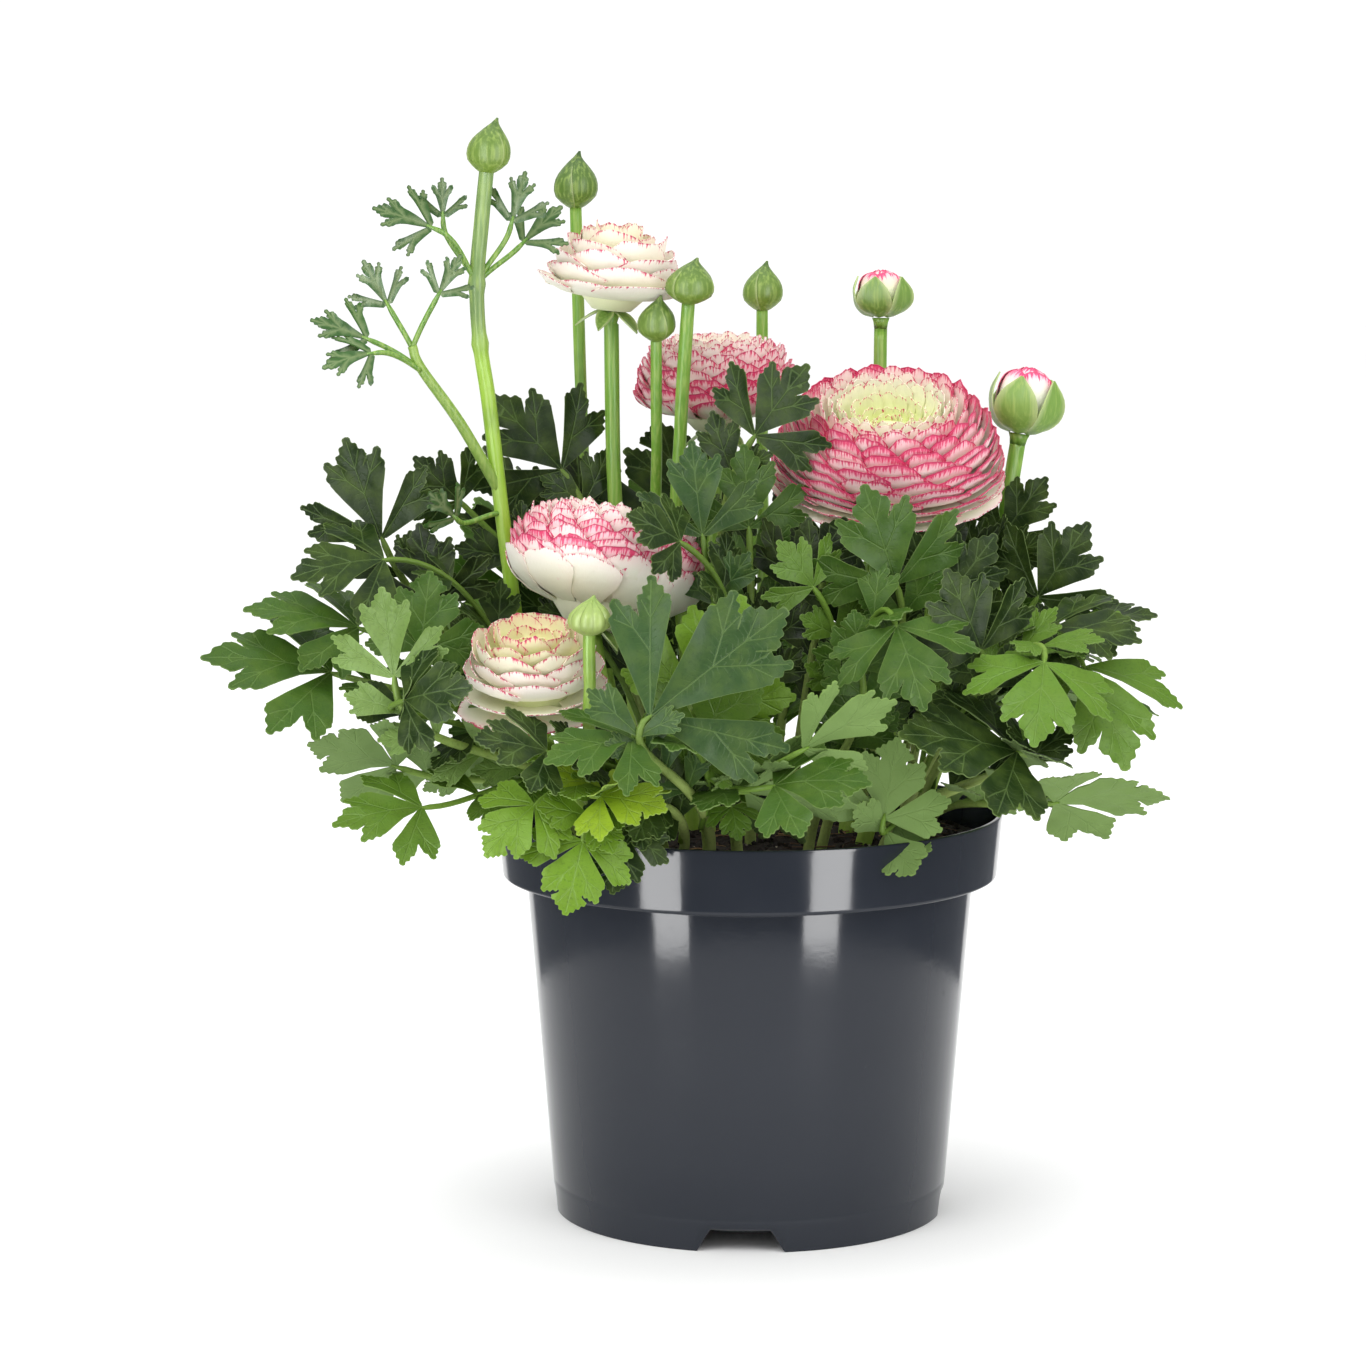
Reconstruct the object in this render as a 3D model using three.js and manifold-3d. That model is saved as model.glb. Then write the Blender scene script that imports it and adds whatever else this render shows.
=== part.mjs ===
// Potted persian buttercup (Ranunculus asiaticus): a dark plastic container pot filled with peat,
// flowering stems with buds, five double blooms and sprays of lobed leaves.
// Millimetres, +Z up. The origin is on the ground at the pot's axis, and -Y is the front.
import * as THREE from "three";
import { mergeVertices } from "three/addons/utils/BufferGeometryUtils.js";
import Module from "manifold-3d";

const wasm = await Module();
wasm.setup();

// Pot: a 19 cm container with a stepped rim band and four notches in its foot
const POT_SIDES = 28;
const RIM_RADIUS = 95;
const POT_HEIGHT = 152;
const BAND_HEIGHT = 24;
const BAND_FOOT_RADIUS = 92.8;
const BODY_TOP_RADIUS = 84;
const FOOT_RADIUS = 73.3;
const WALL = 1.9;
const FLOOR_RISE = 8.4;
const PAD_RADIUS = 18;
const PAD_SLOPE = 4;
const NOTCH_COUNT = 4;
const NOTCH_FIRST = -93.3;
const NOTCH_FOOT_WIDTH = 32;
const NOTCH_TOP_WIDTH = 22.5;
const NOTCH_HEIGHT = 8.2;
const NOTCH_DEPTH = 11;
const OVERCUT = 2;
const DRAIN_COUNT = 4;
const DRAIN_RADIUS = 5;
const DRAIN_RING = 44;
const DRAIN_SIDES = 6;

// Soil: fills the pot to 10 mm below the rim, with a plain hole for each stem and spray.
// It is level where things grow, and falls to an uneven edge at the pot's wall.
const CLEARANCE = 0.3;
const SOIL_TOP = 142;
const SOIL_PAD_INSET = 1;
const SOIL_SIDES = 14;
const SOIL_LEVEL_RADIUS = 76;
const SOIL_FALL = 2;
const SOIL_BUMP = 2.4;
const SOIL_SEED = 3;
const HOLE_DEPTH = 8;
const HOLE_HALF_WIDTH = 4.3;

// Roots stand in rows, each at a share of the reach of what it carries. Low leaves, with their hubs
// near 150 mm, stand nearer to the rim than those near 290 mm.
const ROOT_SPACING = 10.5;
const ROW_SPACING = 0.866;
const ROOT_REACH = 70;
const STEM_FOOT_SHARE = 0.74;
const LOW_HUB = 150;
const HIGH_HUB = 290;
const LOW_FOOT_SHARE = 0.6;
const HIGH_FOOT_SHARE = 0.5;

// Leaves: blades of leaflets cut into lobes, each on a stalk
const BLADE = 0.8;
const STALK_FOOT_RADIUS = 2.2;
const STALK_END_RADIUS = 1.3;
const BRANCH_RADIUS = 1.1;
const STALK_STEPS = 3;
const BRANCH_STEPS = 2;
const STALK_GAP = 3;
const STALK_SPREAD = 0.08;
const STALK_RISE = 0.42;
const STALK_FALL = 0.3;
const BRANCH_AT = 0.46;
const SLIVER = 0.005;
const NECK_RADIUS = 1.9;
const NECK_TURN = 100;
const EDGE_LIFT = 0.05;
const RADIANS = Math.PI / 180;

// Shares of a leaflet's length, and turns in degrees, for the kinds of leaf on the plant
const LEAF_FORMS = {
  cut: { hub: 0.36, turn: 40, side: 0.84, width: 0.27, sinus: 0.45, shoulder: 0.66, fan: 60, reach: 0.88 },
  round: { hub: 0.32, turn: 40, side: 0.84, width: 0.33, sinus: 0.66, shoulder: 0.7, fan: 64, reach: 0.84 },
  wedge: { hub: 0.46, turn: 36, side: 0.85, width: 0.26, sinus: 0.46, shoulder: 0.64, fan: 52, reach: 0.82 },
  feather: { hub: 0.34, turn: 30, side: 0.9, width: 0.09, sinus: 0.12, shoulder: 0.7, fan: 48, reach: 0.75 },
};

// The first leaf of a spray at the front, with its hub before this depth, has all its lobes
const FRONT_DEPTH = -20;

// Sprays: the leaves that rise from one crown. Each leaf has the place of its hub, where the leaflets
// meet, the tip of its middle leaflet, the way its upper side faces, and how far it bends in radians.
const SPRAYS = [
  ["spray_left_upper", [
    ["wedge", [-136, -20, 256], [-149, -22, 293], [-0.3, -1, 0.3], 0.3],
    ["cut", [-134, -38, 250], [-167, -46, 244], [-0.2, -0.7, 0.7], 0.5],
    ["cut", [-116, -22, 232], [-122, -26, 262], [-0.2, -1, 0.3], 0.4],
  ]],
  ["spray_far_left", [
    ["cut", [-152, -58, 211], [-198, -64, 217], [-0.1, -0.5, 0.85], 0.4],
    ["cut", [-143, -46, 226], [-184, -50, 233], [0, -0.4, 0.9], 0.4],
  ]],
  ["spray_left_pale", [
    ["wedge", [-124, -90, 213], [-128, -92, 245], [-0.2, -1, 0.25], -0.3],
    ["round", [-117, -70, 220], [-114, -66, 248], [0.1, -1, 0.3], 0.2],
    ["round", [-119, -100, 206], [-94, -110, 212], [0, -0.9, 0.5], 0.5],
  ]],
  ["spray_low_left", [
    ["round", [-128, -66, 178], [-159, -74, 187], [-0.1, 0.7, 0.7], 0.3],
    ["cut", [-118, -84, 166], [-149, -94, 161], [-0.2, -0.6, 0.8], 0.4],
  ]],
  ["spray_rim_bright", [
    ["round", [-68, -108, 159], [-75, -114, 134], [0, -1, 0.3], 0.5],
    ["round", [-84, -102, 171], [-102, -108, 154], [-0.2, -0.8, 0.7], 0.6],
    ["round", [-80, -104, 190], [-106, -112, 196], [0, -0.6, 0.8], 0.3],
  ]],
  ["spray_rim_lime", [
    ["round", [-46, -101, 161], [-50, -107, 139], [0, -1, 0.2], 0.3],
    ["round", [-54, -110, 174], [-31, -122, 171], [0, -0.6, 0.8], 0.3],
  ]],
  ["spray_front_blue", [
    ["wedge", [-40, -113, 203], [8, -107, 239], [0, -1, 0.35], 0.25],
    ["cut", [-46, -108, 195], [-77, -120, 188], [0, -0.5, 0.85], 0.3],
  ]],
  ["spray_centre_lime", [
    ["round", [-20, -84, 203], [-4, -80, 241], [0.1, -1, 0.3], 0.3],
    ["round", [-17, -92, 191], [-6, -97, 222], [0, -1, 0.3], 0.3],
  ]],
  ["spray_front_wide", [
    ["cut", [-6, -86, 172], [33, -98, 168], [0, 0.6, 0.8], 0.3],
    ["round", [-10, -76, 165], [-8, -84, 154], [0, -0.9, 0.3], 0.6],
    ["wedge", [13, -106, 190], [46, -103, 206], [0.1, 0.75, 0.65], 0.2],
    ["round", [2, -112, 178], [35, -122, 180], [0, -0.5, 0.85], 0.4],
  ]],
  ["spray_right_centre", [
    ["round", [39, -66, 213], [36, -70, 235], [-0.2, -1, 0.2], 0.3],
    ["cut", [51, -74, 230], [60, -93, 202], [0, -0.9, 0.5], 0.5],
  ]],
  ["spray_forks", [
    ["cut", [47, -48, 245], [33, -54, 281], [0, -1, 0.2], 0.4],
    ["cut", [17, -52, 243], [3, -58, 260], [0, -0.9, 0.4], 0.4],
    ["cut", [64, -40, 236], [82, -44, 264], [0, -1, 0.3], 0.4],
  ]],
  ["spray_right_drooping", [
    ["cut", [101, -78, 217], [94, -101, 190], [0, -0.9, 0.45], 0.6],
    ["cut", [80, -66, 220], [66, -74, 250], [0, -1, 0.3], 0.4],
  ]],
  ["spray_far_right_drooping", [
    ["cut", [120, -56, 213], [133, -80, 179], [0.2, -0.8, 0.5], 0.7],
    ["cut", [108, -46, 226], [140, -58, 222], [0.1, -0.6, 0.8], 0.5],
  ]],
  ["spray_far_right_dark", [
    ["cut", [118, -8, 222], [151, -9, 226], [0.1, -0.3, 0.9], 0.4],
    ["cut", [106, -18, 234], [124, -24, 262], [0, -1, 0.4], 0.4],
  ]],
  ["spray_right_wide", [
    ["round", [92, -76, 189], [49, -92, 196], [0, -0.5, 0.85], 0.3],
    ["round", [46, -72, 161], [50, -62, 189], [0, 0.9, 0.3], 0.2],
  ]],
  ["spray_low_right_pale", [
    ["round", [110, -48, 162], [151, -56, 165], [0.1, 0.5, 0.85], 0.3],
  ]],
  ["spray_right_top", [
    ["cut", [103, 18, 250], [121, 20, 271], [0, -0.8, 0.6], 0.4],
    ["cut", [98, 0, 240], [118, -8, 252], [0.1, -0.8, 0.6], 0.4],
    ["cut", [82, 2, 236], [74, -4, 266], [0, -1, 0.3], 0.4],
  ]],
  ["spray_centre_top", [
    ["cut", [-1, -26, 262], [-3, -22, 292], [0.1, -1, 0.2], 0.35],
    ["wedge", [-18, -42, 262], [-22, -40, 296], [-0.1, -1, 0.2], 0.35],
    ["round", [-26, -56, 262], [-45, -64, 273], [0, -0.7, 0.7], 0.35],
    ["cut", [16, -31, 239], [34, -35, 267], [0, -1, 0.3], 0.45],
  ]],
  ["spray_by_bloom", [
    ["cut", [-1, -40, 294], [18, -46, 320], [0, -0.9, 0.4], 0.4],
  ]],
  ["spray_left_inner", [
    ["cut", [-72, 16, 278], [-98, 12, 306], [-0.1, -0.9, 0.5], 0.5],
    ["cut", [-108, -6, 268], [-124, -14, 285], [-0.3, -0.8, 0.5], 0.5],
    ["cut", [-66, 26, 256], [-96, 28, 272], [0, -0.9, 0.5], 0.4],
  ]],
];

// The sprays at the back and inside follow one rule: each rises at its own bearing from the crown.
// Bearing in degrees, reach of the hub from the axis, height of the hub above the ground, and
// the habit of each leaf: it droops outwards, or rises with its upper side to the middle.
const BACK_SPRAYS = [
  [12, 104, 196, ["drooping", "rising"]],
  [38, 98, 206, ["drooping", "rising"]],
  [66, 96, 190, ["drooping", "rising"]],
  [93, 102, 208, ["drooping", "rising"]],
  [120, 94, 192, ["drooping", "rising"]],
  [138, 104, 204, ["drooping", "rising"]],
  [168, 110, 222, ["drooping"]],
  [55, 56, 250, ["rising"]],
  [112, 62, 254, ["rising"]],
  [22, 76, 226, ["rising"]],
  [152, 92, 240, ["rising"]],
];
const BACK_HABITS = {
  drooping: { outward: 1, climb: -0.15, faceOutward: 0.3, faceUp: 1 },
  rising: { outward: 0.5, climb: 0.85, faceOutward: -0.8, faceUp: 0.5 },
};
const BACK_LEAF_LENGTH = [41, 52];
const BACK_LEAF_BEND = [0.45, 0.8];
const BACK_LEAF_SPREAD = 17;
const BACK_LEAF_STEP = 22;
const BACK_LEAF_INSET = 10;
const BACK_LEAF_SCATTER = 4;
const BACK_CUT_SHARE = 0.6;
const BACK_SEED = 11;

// A spray that would cross its neighbours is bent clear of them by the smallest of these changes
const TURNS = [0, 4, -4, 8, -8, 13, -13, 19, -19, 26, -26, 34, -34, 43, -43, 53, -53];
const LEANS = [0, 4, -4, 8];
const BOWS = [0, 10, -10];
const LEAN_WEIGHT = 1.5;
const BOW_WEIGHT = 0.8;

// Flowering stems: points on the axis from low to high. The foot below them stands in the soil.
const STEM_SIDES = 5;
const STEM_FOOT_RADIUS = 3;
const STEMS = [
  { name: "stem_bud_tall", radius: 2.9, steps: 10, kind: "bud", bud: [8.2, 19],
    points: [[-84, -3, 200], [-88, -4, 229], [-93, -6, 270], [-97, -8, 306], [-100, -9, 327],
      [-101, -10, 349], [-99, -10, 372], [-97, -10, 391]] },
  { name: "stem_bud_second", radius: 2.4, steps: 4, kind: "bud", bud: [8.6, 20],
    points: [[-60, 44, 230], [-64, 51, 300], [-66, 52, 377]] },
  { name: "stem_bloom_top", radius: 2.9, steps: 4, kind: "bloom",
    points: [[-46, 18, 210], [-51, 20, 271], [-52, 20, 338]] },
  { name: "stem_bud_middle", radius: 2.6, steps: 4, kind: "bud", bud: [9.2, 16],
    points: [[-27, 8, 240], [-26, 4, 296], [-23, -3, 343]] },
  { name: "stem_bud_small", radius: 2.2, steps: 4, kind: "bud", bud: [7.2, 16],
    points: [[-34, 20, 240], [-35, 10, 290], [-35, 2, 329]] },
  { name: "stem_bud_back", radius: 2.4, steps: 4, kind: "bud", bud: [8, 18],
    points: [[6, 78, 220], [6, 92, 280], [6, 95, 336]] },
  { name: "stem_bud_cream", radius: 2.6, steps: 4, kind: "opening", bud: [9.6, 18],
    petals: "bud_petals_cream", points: [[46, 50, 220], [50, 58, 280], [51, 60, 334]] },
  { name: "stem_bloom_back", radius: 2.8, steps: 4, kind: "bloom",
    points: [[-14, 52, 220], [-13, 58, 260], [-12, 60, 290]] },
  { name: "stem_bloom_large", radius: 3.1, steps: 4, kind: "bloom",
    points: [[44, 14, 205], [49, 10, 240], [51, 2, 268]] },
  { name: "stem_bud_pink", radius: 3.1, steps: 4, kind: "opening", bud: [11.8, 25],
    petals: "bud_petals_pink", points: [[88, 22, 215], [96, 24, 256], [102, 25, 292]] },
  { name: "stem_bloom_front", radius: 2.8, steps: 4, kind: "bloom",
    points: [[-48, -30, 180], [-55, -33, 205], [-58, -32, 224]] },
  { name: "stem_bloom_low", radius: 2.5, steps: 4, kind: "bloom",
    points: [[-70, -62, 172], [-76, -68, 185], [-78, -70, 197]] },
  { name: "stem_seed_head", radius: 2.3, steps: 4, kind: "bud", bud: [7.2, 13],
    points: [[-57, -86, 185], [-58, -96, 213], [-58, -98, 231]] },
  { name: "stem_bud_hidden", radius: 2, steps: 4, kind: "bud", bud: [5.6, 13],
    points: [[58, -24, 200], [65, -26, 225], [66, -26, 250]] },
];

// Feathery leaves with narrow lobes on the tall stem: foot, hub, tip, way it faces, bend
const STEM_LEAVES = [
  [[-101, -10, 349], [-117, -20, 370], [-138, -24, 377], [0, -0.8, 0.5], 0.3],
  [[-101, -10, 349], [-113, -14, 374], [-113, -18, 388], [0, -1, 0.1], 0.3],
  [[-101, -10, 349], [-88, -6, 372], [-83, -5, 390], [0, -1, 0.1], 0.6],
  [[-101, -10, 349], [-84, 0, 364], [-70, 8, 377], [0, -0.8, 0.5], 0.2],
  [[-92, -6, 264], [-109, -22, 264], [-118, -32, 274], [0, -1, 0.3], 0.4],
];
const SIDE_SHOOT = [[-93, -6, 272], [-107, -16, 298], [-121, -24, 319], [-124, -25, 327]];
const SIDE_SHOOT_RADIUS = 2.3;
const SIDE_SHOOT_STEPS = 4;
const SIDE_LEAVES = [
  [[-121, -25, 318], [-140, -32, 330], [-160, -36, 337], [0, -0.8, 0.5], 0.3],
  [[-121, -25, 318], [-138, -38, 325], [-155, -46, 320], [0, -0.8, 0.5], 0.6],
  [[-122, -25, 322], [-133, -22, 342], [-142, -20, 358], [0, -1, 0.1], 0.3],
  [[-124, -25, 326], [-114, -26, 346], [-106, -24, 360], [0, -1, 0.1], 0.4],
];
const STEM_LEAF_RADIUS = 1.1;
const STEM_LEAF_LEVEL = 0.3;
const STEM_LEAF_ARCH = 0.08;
const STEM_LEAF_STEPS = 2;

// Blooms: base point, axis, radius, height, and rings of petals from the outside to the middle,
// each with its count and its edge's share of the radius and of the height
const BLOOMS = [
  { name: "bloom_top", stem: "stem_bloom_top", axis: [0.1, -0.04, 1], radius: 27, height: 33, open: 5,
    rings: [[5, 1.0, 0.34], [5, 0.84, 0.64], [4, 0.6, 0.88], [3, 0.32, 0.98]] },
  { name: "bloom_back", stem: "stem_bloom_back", axis: [0, -0.05, 1], radius: 31, height: 38, open: 3,
    rings: [[6, 1.0, 0.4], [6, 0.94, 0.66], [5, 0.8, 0.88], [3, 0.52, 0.96]] },
  { name: "bloom_large", stem: "stem_bloom_large", axis: [0, -0.36, 0.93], radius: 43, height: 44, open: 5,
    rings: [[7, 1.0, 0.2], [6, 0.97, 0.5], [6, 0.87, 0.76], [5, 0.7, 0.95], [4, 0.42, 0.92]] },
  { name: "bloom_front", stem: "stem_bloom_front", axis: [0.2, 0.2, 0.96], radius: 37, height: 46, open: 2,
    rings: [[6, 1.0, 0.5], [6, 0.95, 0.7], [5, 0.8, 0.88], [4, 0.5, 0.98]] },
  { name: "bloom_low", stem: "stem_bloom_low", axis: [-0.03, -0.25, 0.97], radius: 25, height: 37, open: 6,
    rings: [[6, 1.04, 0.1], [5, 0.96, 0.54], [5, 0.8, 0.82], [4, 0.5, 0.92]] },
];
const PETAL = 0.8;
const PETAL_FILL = 0.9;
const CORE_SIDES = 6;
// Shares of the bloom's radius and height
const CORE_PROFILE = [[0, 0.04], [0.3, 0.04], [0.54, 0.2], [0.56, 0.44], [0.34, 0.66], [0, 0.72]];
const ROOT_LOW = 0.14;
const ROOT_HIGH = 0.64;
const ROOT_DEPTH = 3;
const BELLY_REACH = 3;
const BELLY_LEVEL = 0.25;
const OPEN_BELLY = 0.4;
const RING_STAGGER = 0.5;
const RING_TURN = 0.13;
// Petals: rows of points from the root to the edge, with the share along the petal, its width there
// and the points across. The edge's corners end a little before its middle, and flare out.
const PETAL_ROWS = [
  { along: 0, width: 0.42, places: [-1, 1] },
  { along: 0.58, width: 0.98, places: [-1, 1] },
  { along: 1, width: 0.78, places: [-1, 0, 1] },
];
const PETAL_CORNER = 0.93;
const PETAL_FLARE = 0.6;

// Buds: shares of their radius and height, and how deep they sit on the stem
const BUD_SIDES = 8;
const BUD_PROFILE = [[0.35, 0], [0.94, 0.22], [0.94, 0.48], [0.42, 0.82]];
const BUD_RIDGE = 0.07;
const BUD_TIP_LEAN = 0.12;
const BUD_SINK = 1;
const BUD_PETAL_PROFILE = [[0.3, 0], [0.8, 0.22], [0.84, 0.6], [0.5, 0.9]];
const BUD_PETAL_TIP = 0.96;
const BUD_PETAL_FOLD = 0.04;
const BUD_PETAL_TWIST = 0.25;

// Calyx: five sepals joined at the stem's end. Each row is radius, height and half width, from the
// corner between two sepals to the tip: in millimetres under a bloom, in shares round a bud.
const SEPAL_COUNT = 5;
const RECEPTACLE_DEPTH = 5;
const RECEPTACLE_FLARE = 1.3;
const CALYX_CORNER = [4.6, -1];
const BLOOM_SEPAL = [[7.4, -2.6, 3.1], [13, -7, 0]];
const BUD_SEPAL = [[0.98, 0.16, 0.42], [1.12, 0.5, 0.36], [1, 0.84, 0]];

const COLOURS = {
  pot: 0x31363c,
  soil: 0x1d1712,
  stem: 0x7fae3c,
  leaf: 0x3f6b34,
  petal: 0xf3e3df,
  picotee: 0xe08aa8,
};

// A small seeded generator gives the same draws in each run
function seededRandom(seed) {
  let state = seed >>> 0;
  return () => {
    state = (state + 0x6d2b79f5) >>> 0;
    let mixed = Math.imul(state ^ (state >>> 15), state | 1);
    mixed ^= mixed + Math.imul(mixed ^ (mixed >>> 7), mixed | 61);
    return ((mixed ^ (mixed >>> 14)) >>> 0) / 4294967296;
  };
}

const vector = ([x, y, z]) => new THREE.Vector3(x, y, z);

// Closed solid from shared points and triangles, turned outside out where it needs to be
function solidFromFaces(points, faces) {
  let volume = 0;
  for (const [a, b, c] of faces) {
    volume += points[a].dot(new THREE.Vector3().crossVectors(points[b], points[c]));
  }
  const outward = volume > 0 ? faces : faces.map(([a, b, c]) => [a, c, b]);
  const vertProperties = new Float32Array(points.flatMap((point) => point.toArray()));
  const triVerts = new Uint32Array(outward.flat());
  return new wasm.Manifold(new wasm.Mesh({ numProp: 3, vertProperties, triVerts }));
}

function solidFromGeometry(geometry) {
  geometry.deleteAttribute("normal");
  geometry.deleteAttribute("uv");
  const merged = mergeVertices(geometry, 1e-4);
  const position = merged.getAttribute("position");
  const points = [];
  for (let i = 0; i < position.count; i += 1) {
    points.push(new THREE.Vector3().fromBufferAttribute(position, i));
  }
  const faces = [];
  const index = merged.getIndex().array;
  for (let i = 0; i < index.length; i += 3) {
    const [a, b, c] = index.slice(i, i + 3);
    if (a !== b && b !== c && c !== a) faces.push([a, b, c]);
  }
  return solidFromFaces(points, faces);
}

function lathe(profile, sides) {
  const outline = profile.map(([radius, height]) => new THREE.Vector2(radius, height));
  const geometry = new THREE.LatheGeometry(outline, sides);
  geometry.rotateX(Math.PI / 2);
  return geometry;
}

function geometryFromSolid(solid) {
  const mesh = solid.getMesh();
  const geometry = new THREE.BufferGeometry();
  geometry.setAttribute("position", new THREE.BufferAttribute(mesh.vertProperties, 3));
  geometry.setIndex(new THREE.BufferAttribute(mesh.triVerts, 1));
  geometry.computeVertexNormals();
  return geometry;
}

// Tube through the points, with a radius at each and a frame that doesn't twist
function tube(points, radii, sides) {
  const rings = [];
  let across = null;
  points.forEach((point, i) => {
    const before = points[Math.max(0, i - 1)];
    const after = points[Math.min(points.length - 1, i + 1)];
    const along = after.clone().sub(before).normalize();
    if (across === null) across = new THREE.Vector3(Math.SQRT1_2, Math.SQRT1_2, 0);
    across.addScaledVector(along, -across.dot(along)).normalize();
    const third = new THREE.Vector3().crossVectors(along, across);
    for (let k = 0; k < sides; k += 1) {
      const angle = (2 * Math.PI * k) / sides;
      const ring = point.clone();
      ring.addScaledVector(across, radii[i] * Math.cos(angle));
      ring.addScaledVector(third, radii[i] * Math.sin(angle));
      rings.push(ring);
    }
    across = across.clone();
  });
  const faces = [];
  for (let i = 0; i + 1 < points.length; i += 1) {
    for (let k = 0; k < sides; k += 1) {
      const a = i * sides + k;
      const b = i * sides + ((k + 1) % sides);
      faces.push([a, b, b + sides], [a, b + sides, a + sides]);
    }
  }
  const last = (points.length - 1) * sides;
  for (let k = 1; k + 1 < sides; k += 1) {
    faces.push([0, k + 1, k], [last, last + k, last + k + 1]);
  }
  return solidFromFaces(rings, faces);
}

// Thin blade: the same triangles on both faces, and a wall along its outline
function blade(points, normals, faces, outline, thickness) {
  const upper = points.map((point, i) => point.clone().addScaledVector(normals[i], thickness / 2));
  const lower = points.map((point, i) => point.clone().addScaledVector(normals[i], -thickness / 2));
  const count = points.length;
  const all = [];
  for (const [a, b, c] of faces) {
    all.push([a, b, c], [a + count, c + count, b + count]);
  }
  outline.forEach((a, i) => {
    const b = outline[(i + 1) % outline.length];
    all.push([a + count, b + count, b], [a + count, b, a]);
  });
  return solidFromFaces([...upper, ...lower], all);
}

function bezier([p0, p1, p2, p3], t) {
  const s = 1 - t;
  return new THREE.Vector3()
    .addScaledVector(p0, s * s * s)
    .addScaledVector(p1, 3 * s * s * t)
    .addScaledVector(p2, 3 * s * t * t)
    .addScaledVector(p3, t * t * t);
}

function potSolid() {
  const bandFoot = POT_HEIGHT - BAND_HEIGHT;
  const floorTop = FLOOR_RISE + WALL;
  const outside = [
    [0, 0],
    [PAD_RADIUS, 0],
    [PAD_RADIUS + PAD_SLOPE, FLOOR_RISE],
    [FOOT_RADIUS - WALL, FLOOR_RISE],
    [FOOT_RADIUS - WALL, 0],
    [FOOT_RADIUS, 0],
    [BODY_TOP_RADIUS, bandFoot],
    [BAND_FOOT_RADIUS, bandFoot],
    [RIM_RADIUS, POT_HEIGHT],
  ];
  const inside = [
    [RIM_RADIUS - WALL, POT_HEIGHT],
    [BAND_FOOT_RADIUS - WALL, bandFoot + WALL],
    [BODY_TOP_RADIUS - WALL, bandFoot + WALL],
    [FOOT_RADIUS - WALL, floorTop],
    [PAD_RADIUS + PAD_SLOPE + WALL, floorTop],
    [PAD_RADIUS + WALL, WALL],
    [0, WALL],
  ];
  let pot = solidFromGeometry(lathe([...outside, ...inside], POT_SIDES));
  for (let i = 0; i < NOTCH_COUNT; i += 1) {
    pot = pot.subtract(notchSolid(NOTCH_FIRST + (360 / NOTCH_COUNT) * i));
  }
  for (let i = 0; i < DRAIN_COUNT; i += 1) {
    pot = pot.subtract(drainSolid((360 / DRAIN_COUNT) * (i + 0.5)));
  }
  return pot;
}

// The trapezoid that each notch takes out of the foot's skirt, wider at the ground
function notchSolid(bearing) {
  const flat = new THREE.Shape([
    new THREE.Vector2(-NOTCH_FOOT_WIDTH / 2, -OVERCUT),
    new THREE.Vector2(NOTCH_FOOT_WIDTH / 2, -OVERCUT),
    new THREE.Vector2(NOTCH_TOP_WIDTH / 2, NOTCH_HEIGHT),
    new THREE.Vector2(-NOTCH_TOP_WIDTH / 2, NOTCH_HEIGHT),
  ]);
  const geometry = new THREE.ExtrudeGeometry(flat, { depth: NOTCH_DEPTH, bevelEnabled: false });
  geometry.translate(0, 0, FOOT_RADIUS - NOTCH_DEPTH + OVERCUT);
  geometry.rotateX(Math.PI / 2);
  geometry.rotateZ((bearing + 90) * RADIANS);
  return solidFromGeometry(geometry);
}

function drainSolid(bearing) {
  const geometry = new THREE.CylinderGeometry(DRAIN_RADIUS, DRAIN_RADIUS, 4 * WALL, DRAIN_SIDES);
  geometry.rotateX(Math.PI / 2);
  const angle = bearing * RADIANS;
  geometry.translate(DRAIN_RING * Math.cos(angle), DRAIN_RING * Math.sin(angle), FLOOR_RISE + WALL / 2);
  return solidFromGeometry(geometry);
}

// Soil that follows the pot's inside, with a lumpy edge and a hole at each root
function soilSolid(roots) {
  const step = POT_HEIGHT - BAND_HEIGHT + WALL + CLEARANCE;
  const floor = FLOOR_RISE + WALL + CLEARANCE;
  const gap = WALL + 2 * CLEARANCE;
  const edgeHeight = SOIL_TOP - SOIL_FALL;
  const bandSlope = (RIM_RADIUS - BAND_FOOT_RADIUS) / (BAND_HEIGHT - WALL);
  const edgeRadius = BAND_FOOT_RADIUS - gap + bandSlope * (edgeHeight - step);
  const profile = [
    [0, WALL + CLEARANCE],
    [PAD_RADIUS + WALL - SOIL_PAD_INSET, WALL + CLEARANCE],
    [PAD_RADIUS + PAD_SLOPE + WALL - SOIL_PAD_INSET, floor],
    [FOOT_RADIUS - gap, floor],
    [BODY_TOP_RADIUS - gap, step],
    [BAND_FOOT_RADIUS - gap, step],
    [edgeRadius, edgeHeight],
    [SOIL_LEVEL_RADIUS, SOIL_TOP],
    [0, SOIL_TOP],
  ];
  const geometry = lathe(profile, SOIL_SIDES);
  const draw = seededRandom(SOIL_SEED);
  const position = geometry.getAttribute("position");
  const edge = profile.findIndex(([radius]) => radius === edgeRadius);
  for (let side = 0; side < SOIL_SIDES; side += 1) {
    const height = edgeHeight + SOIL_BUMP * (draw() - 0.5);
    position.setZ(side * profile.length + edge, height);
    if (side === 0) position.setZ(SOIL_SIDES * profile.length + edge, height);
  }
  let soil = solidFromGeometry(geometry);
  for (const [x, y] of roots) {
    const hole = new THREE.BoxGeometry(2 * HOLE_HALF_WIDTH, 2 * HOLE_HALF_WIDTH, 2 * HOLE_DEPTH);
    hole.translate(x, y, SOIL_TOP);
    soil = soil.subtract(solidFromGeometry(hole));
  }
  return soil;
}

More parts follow.
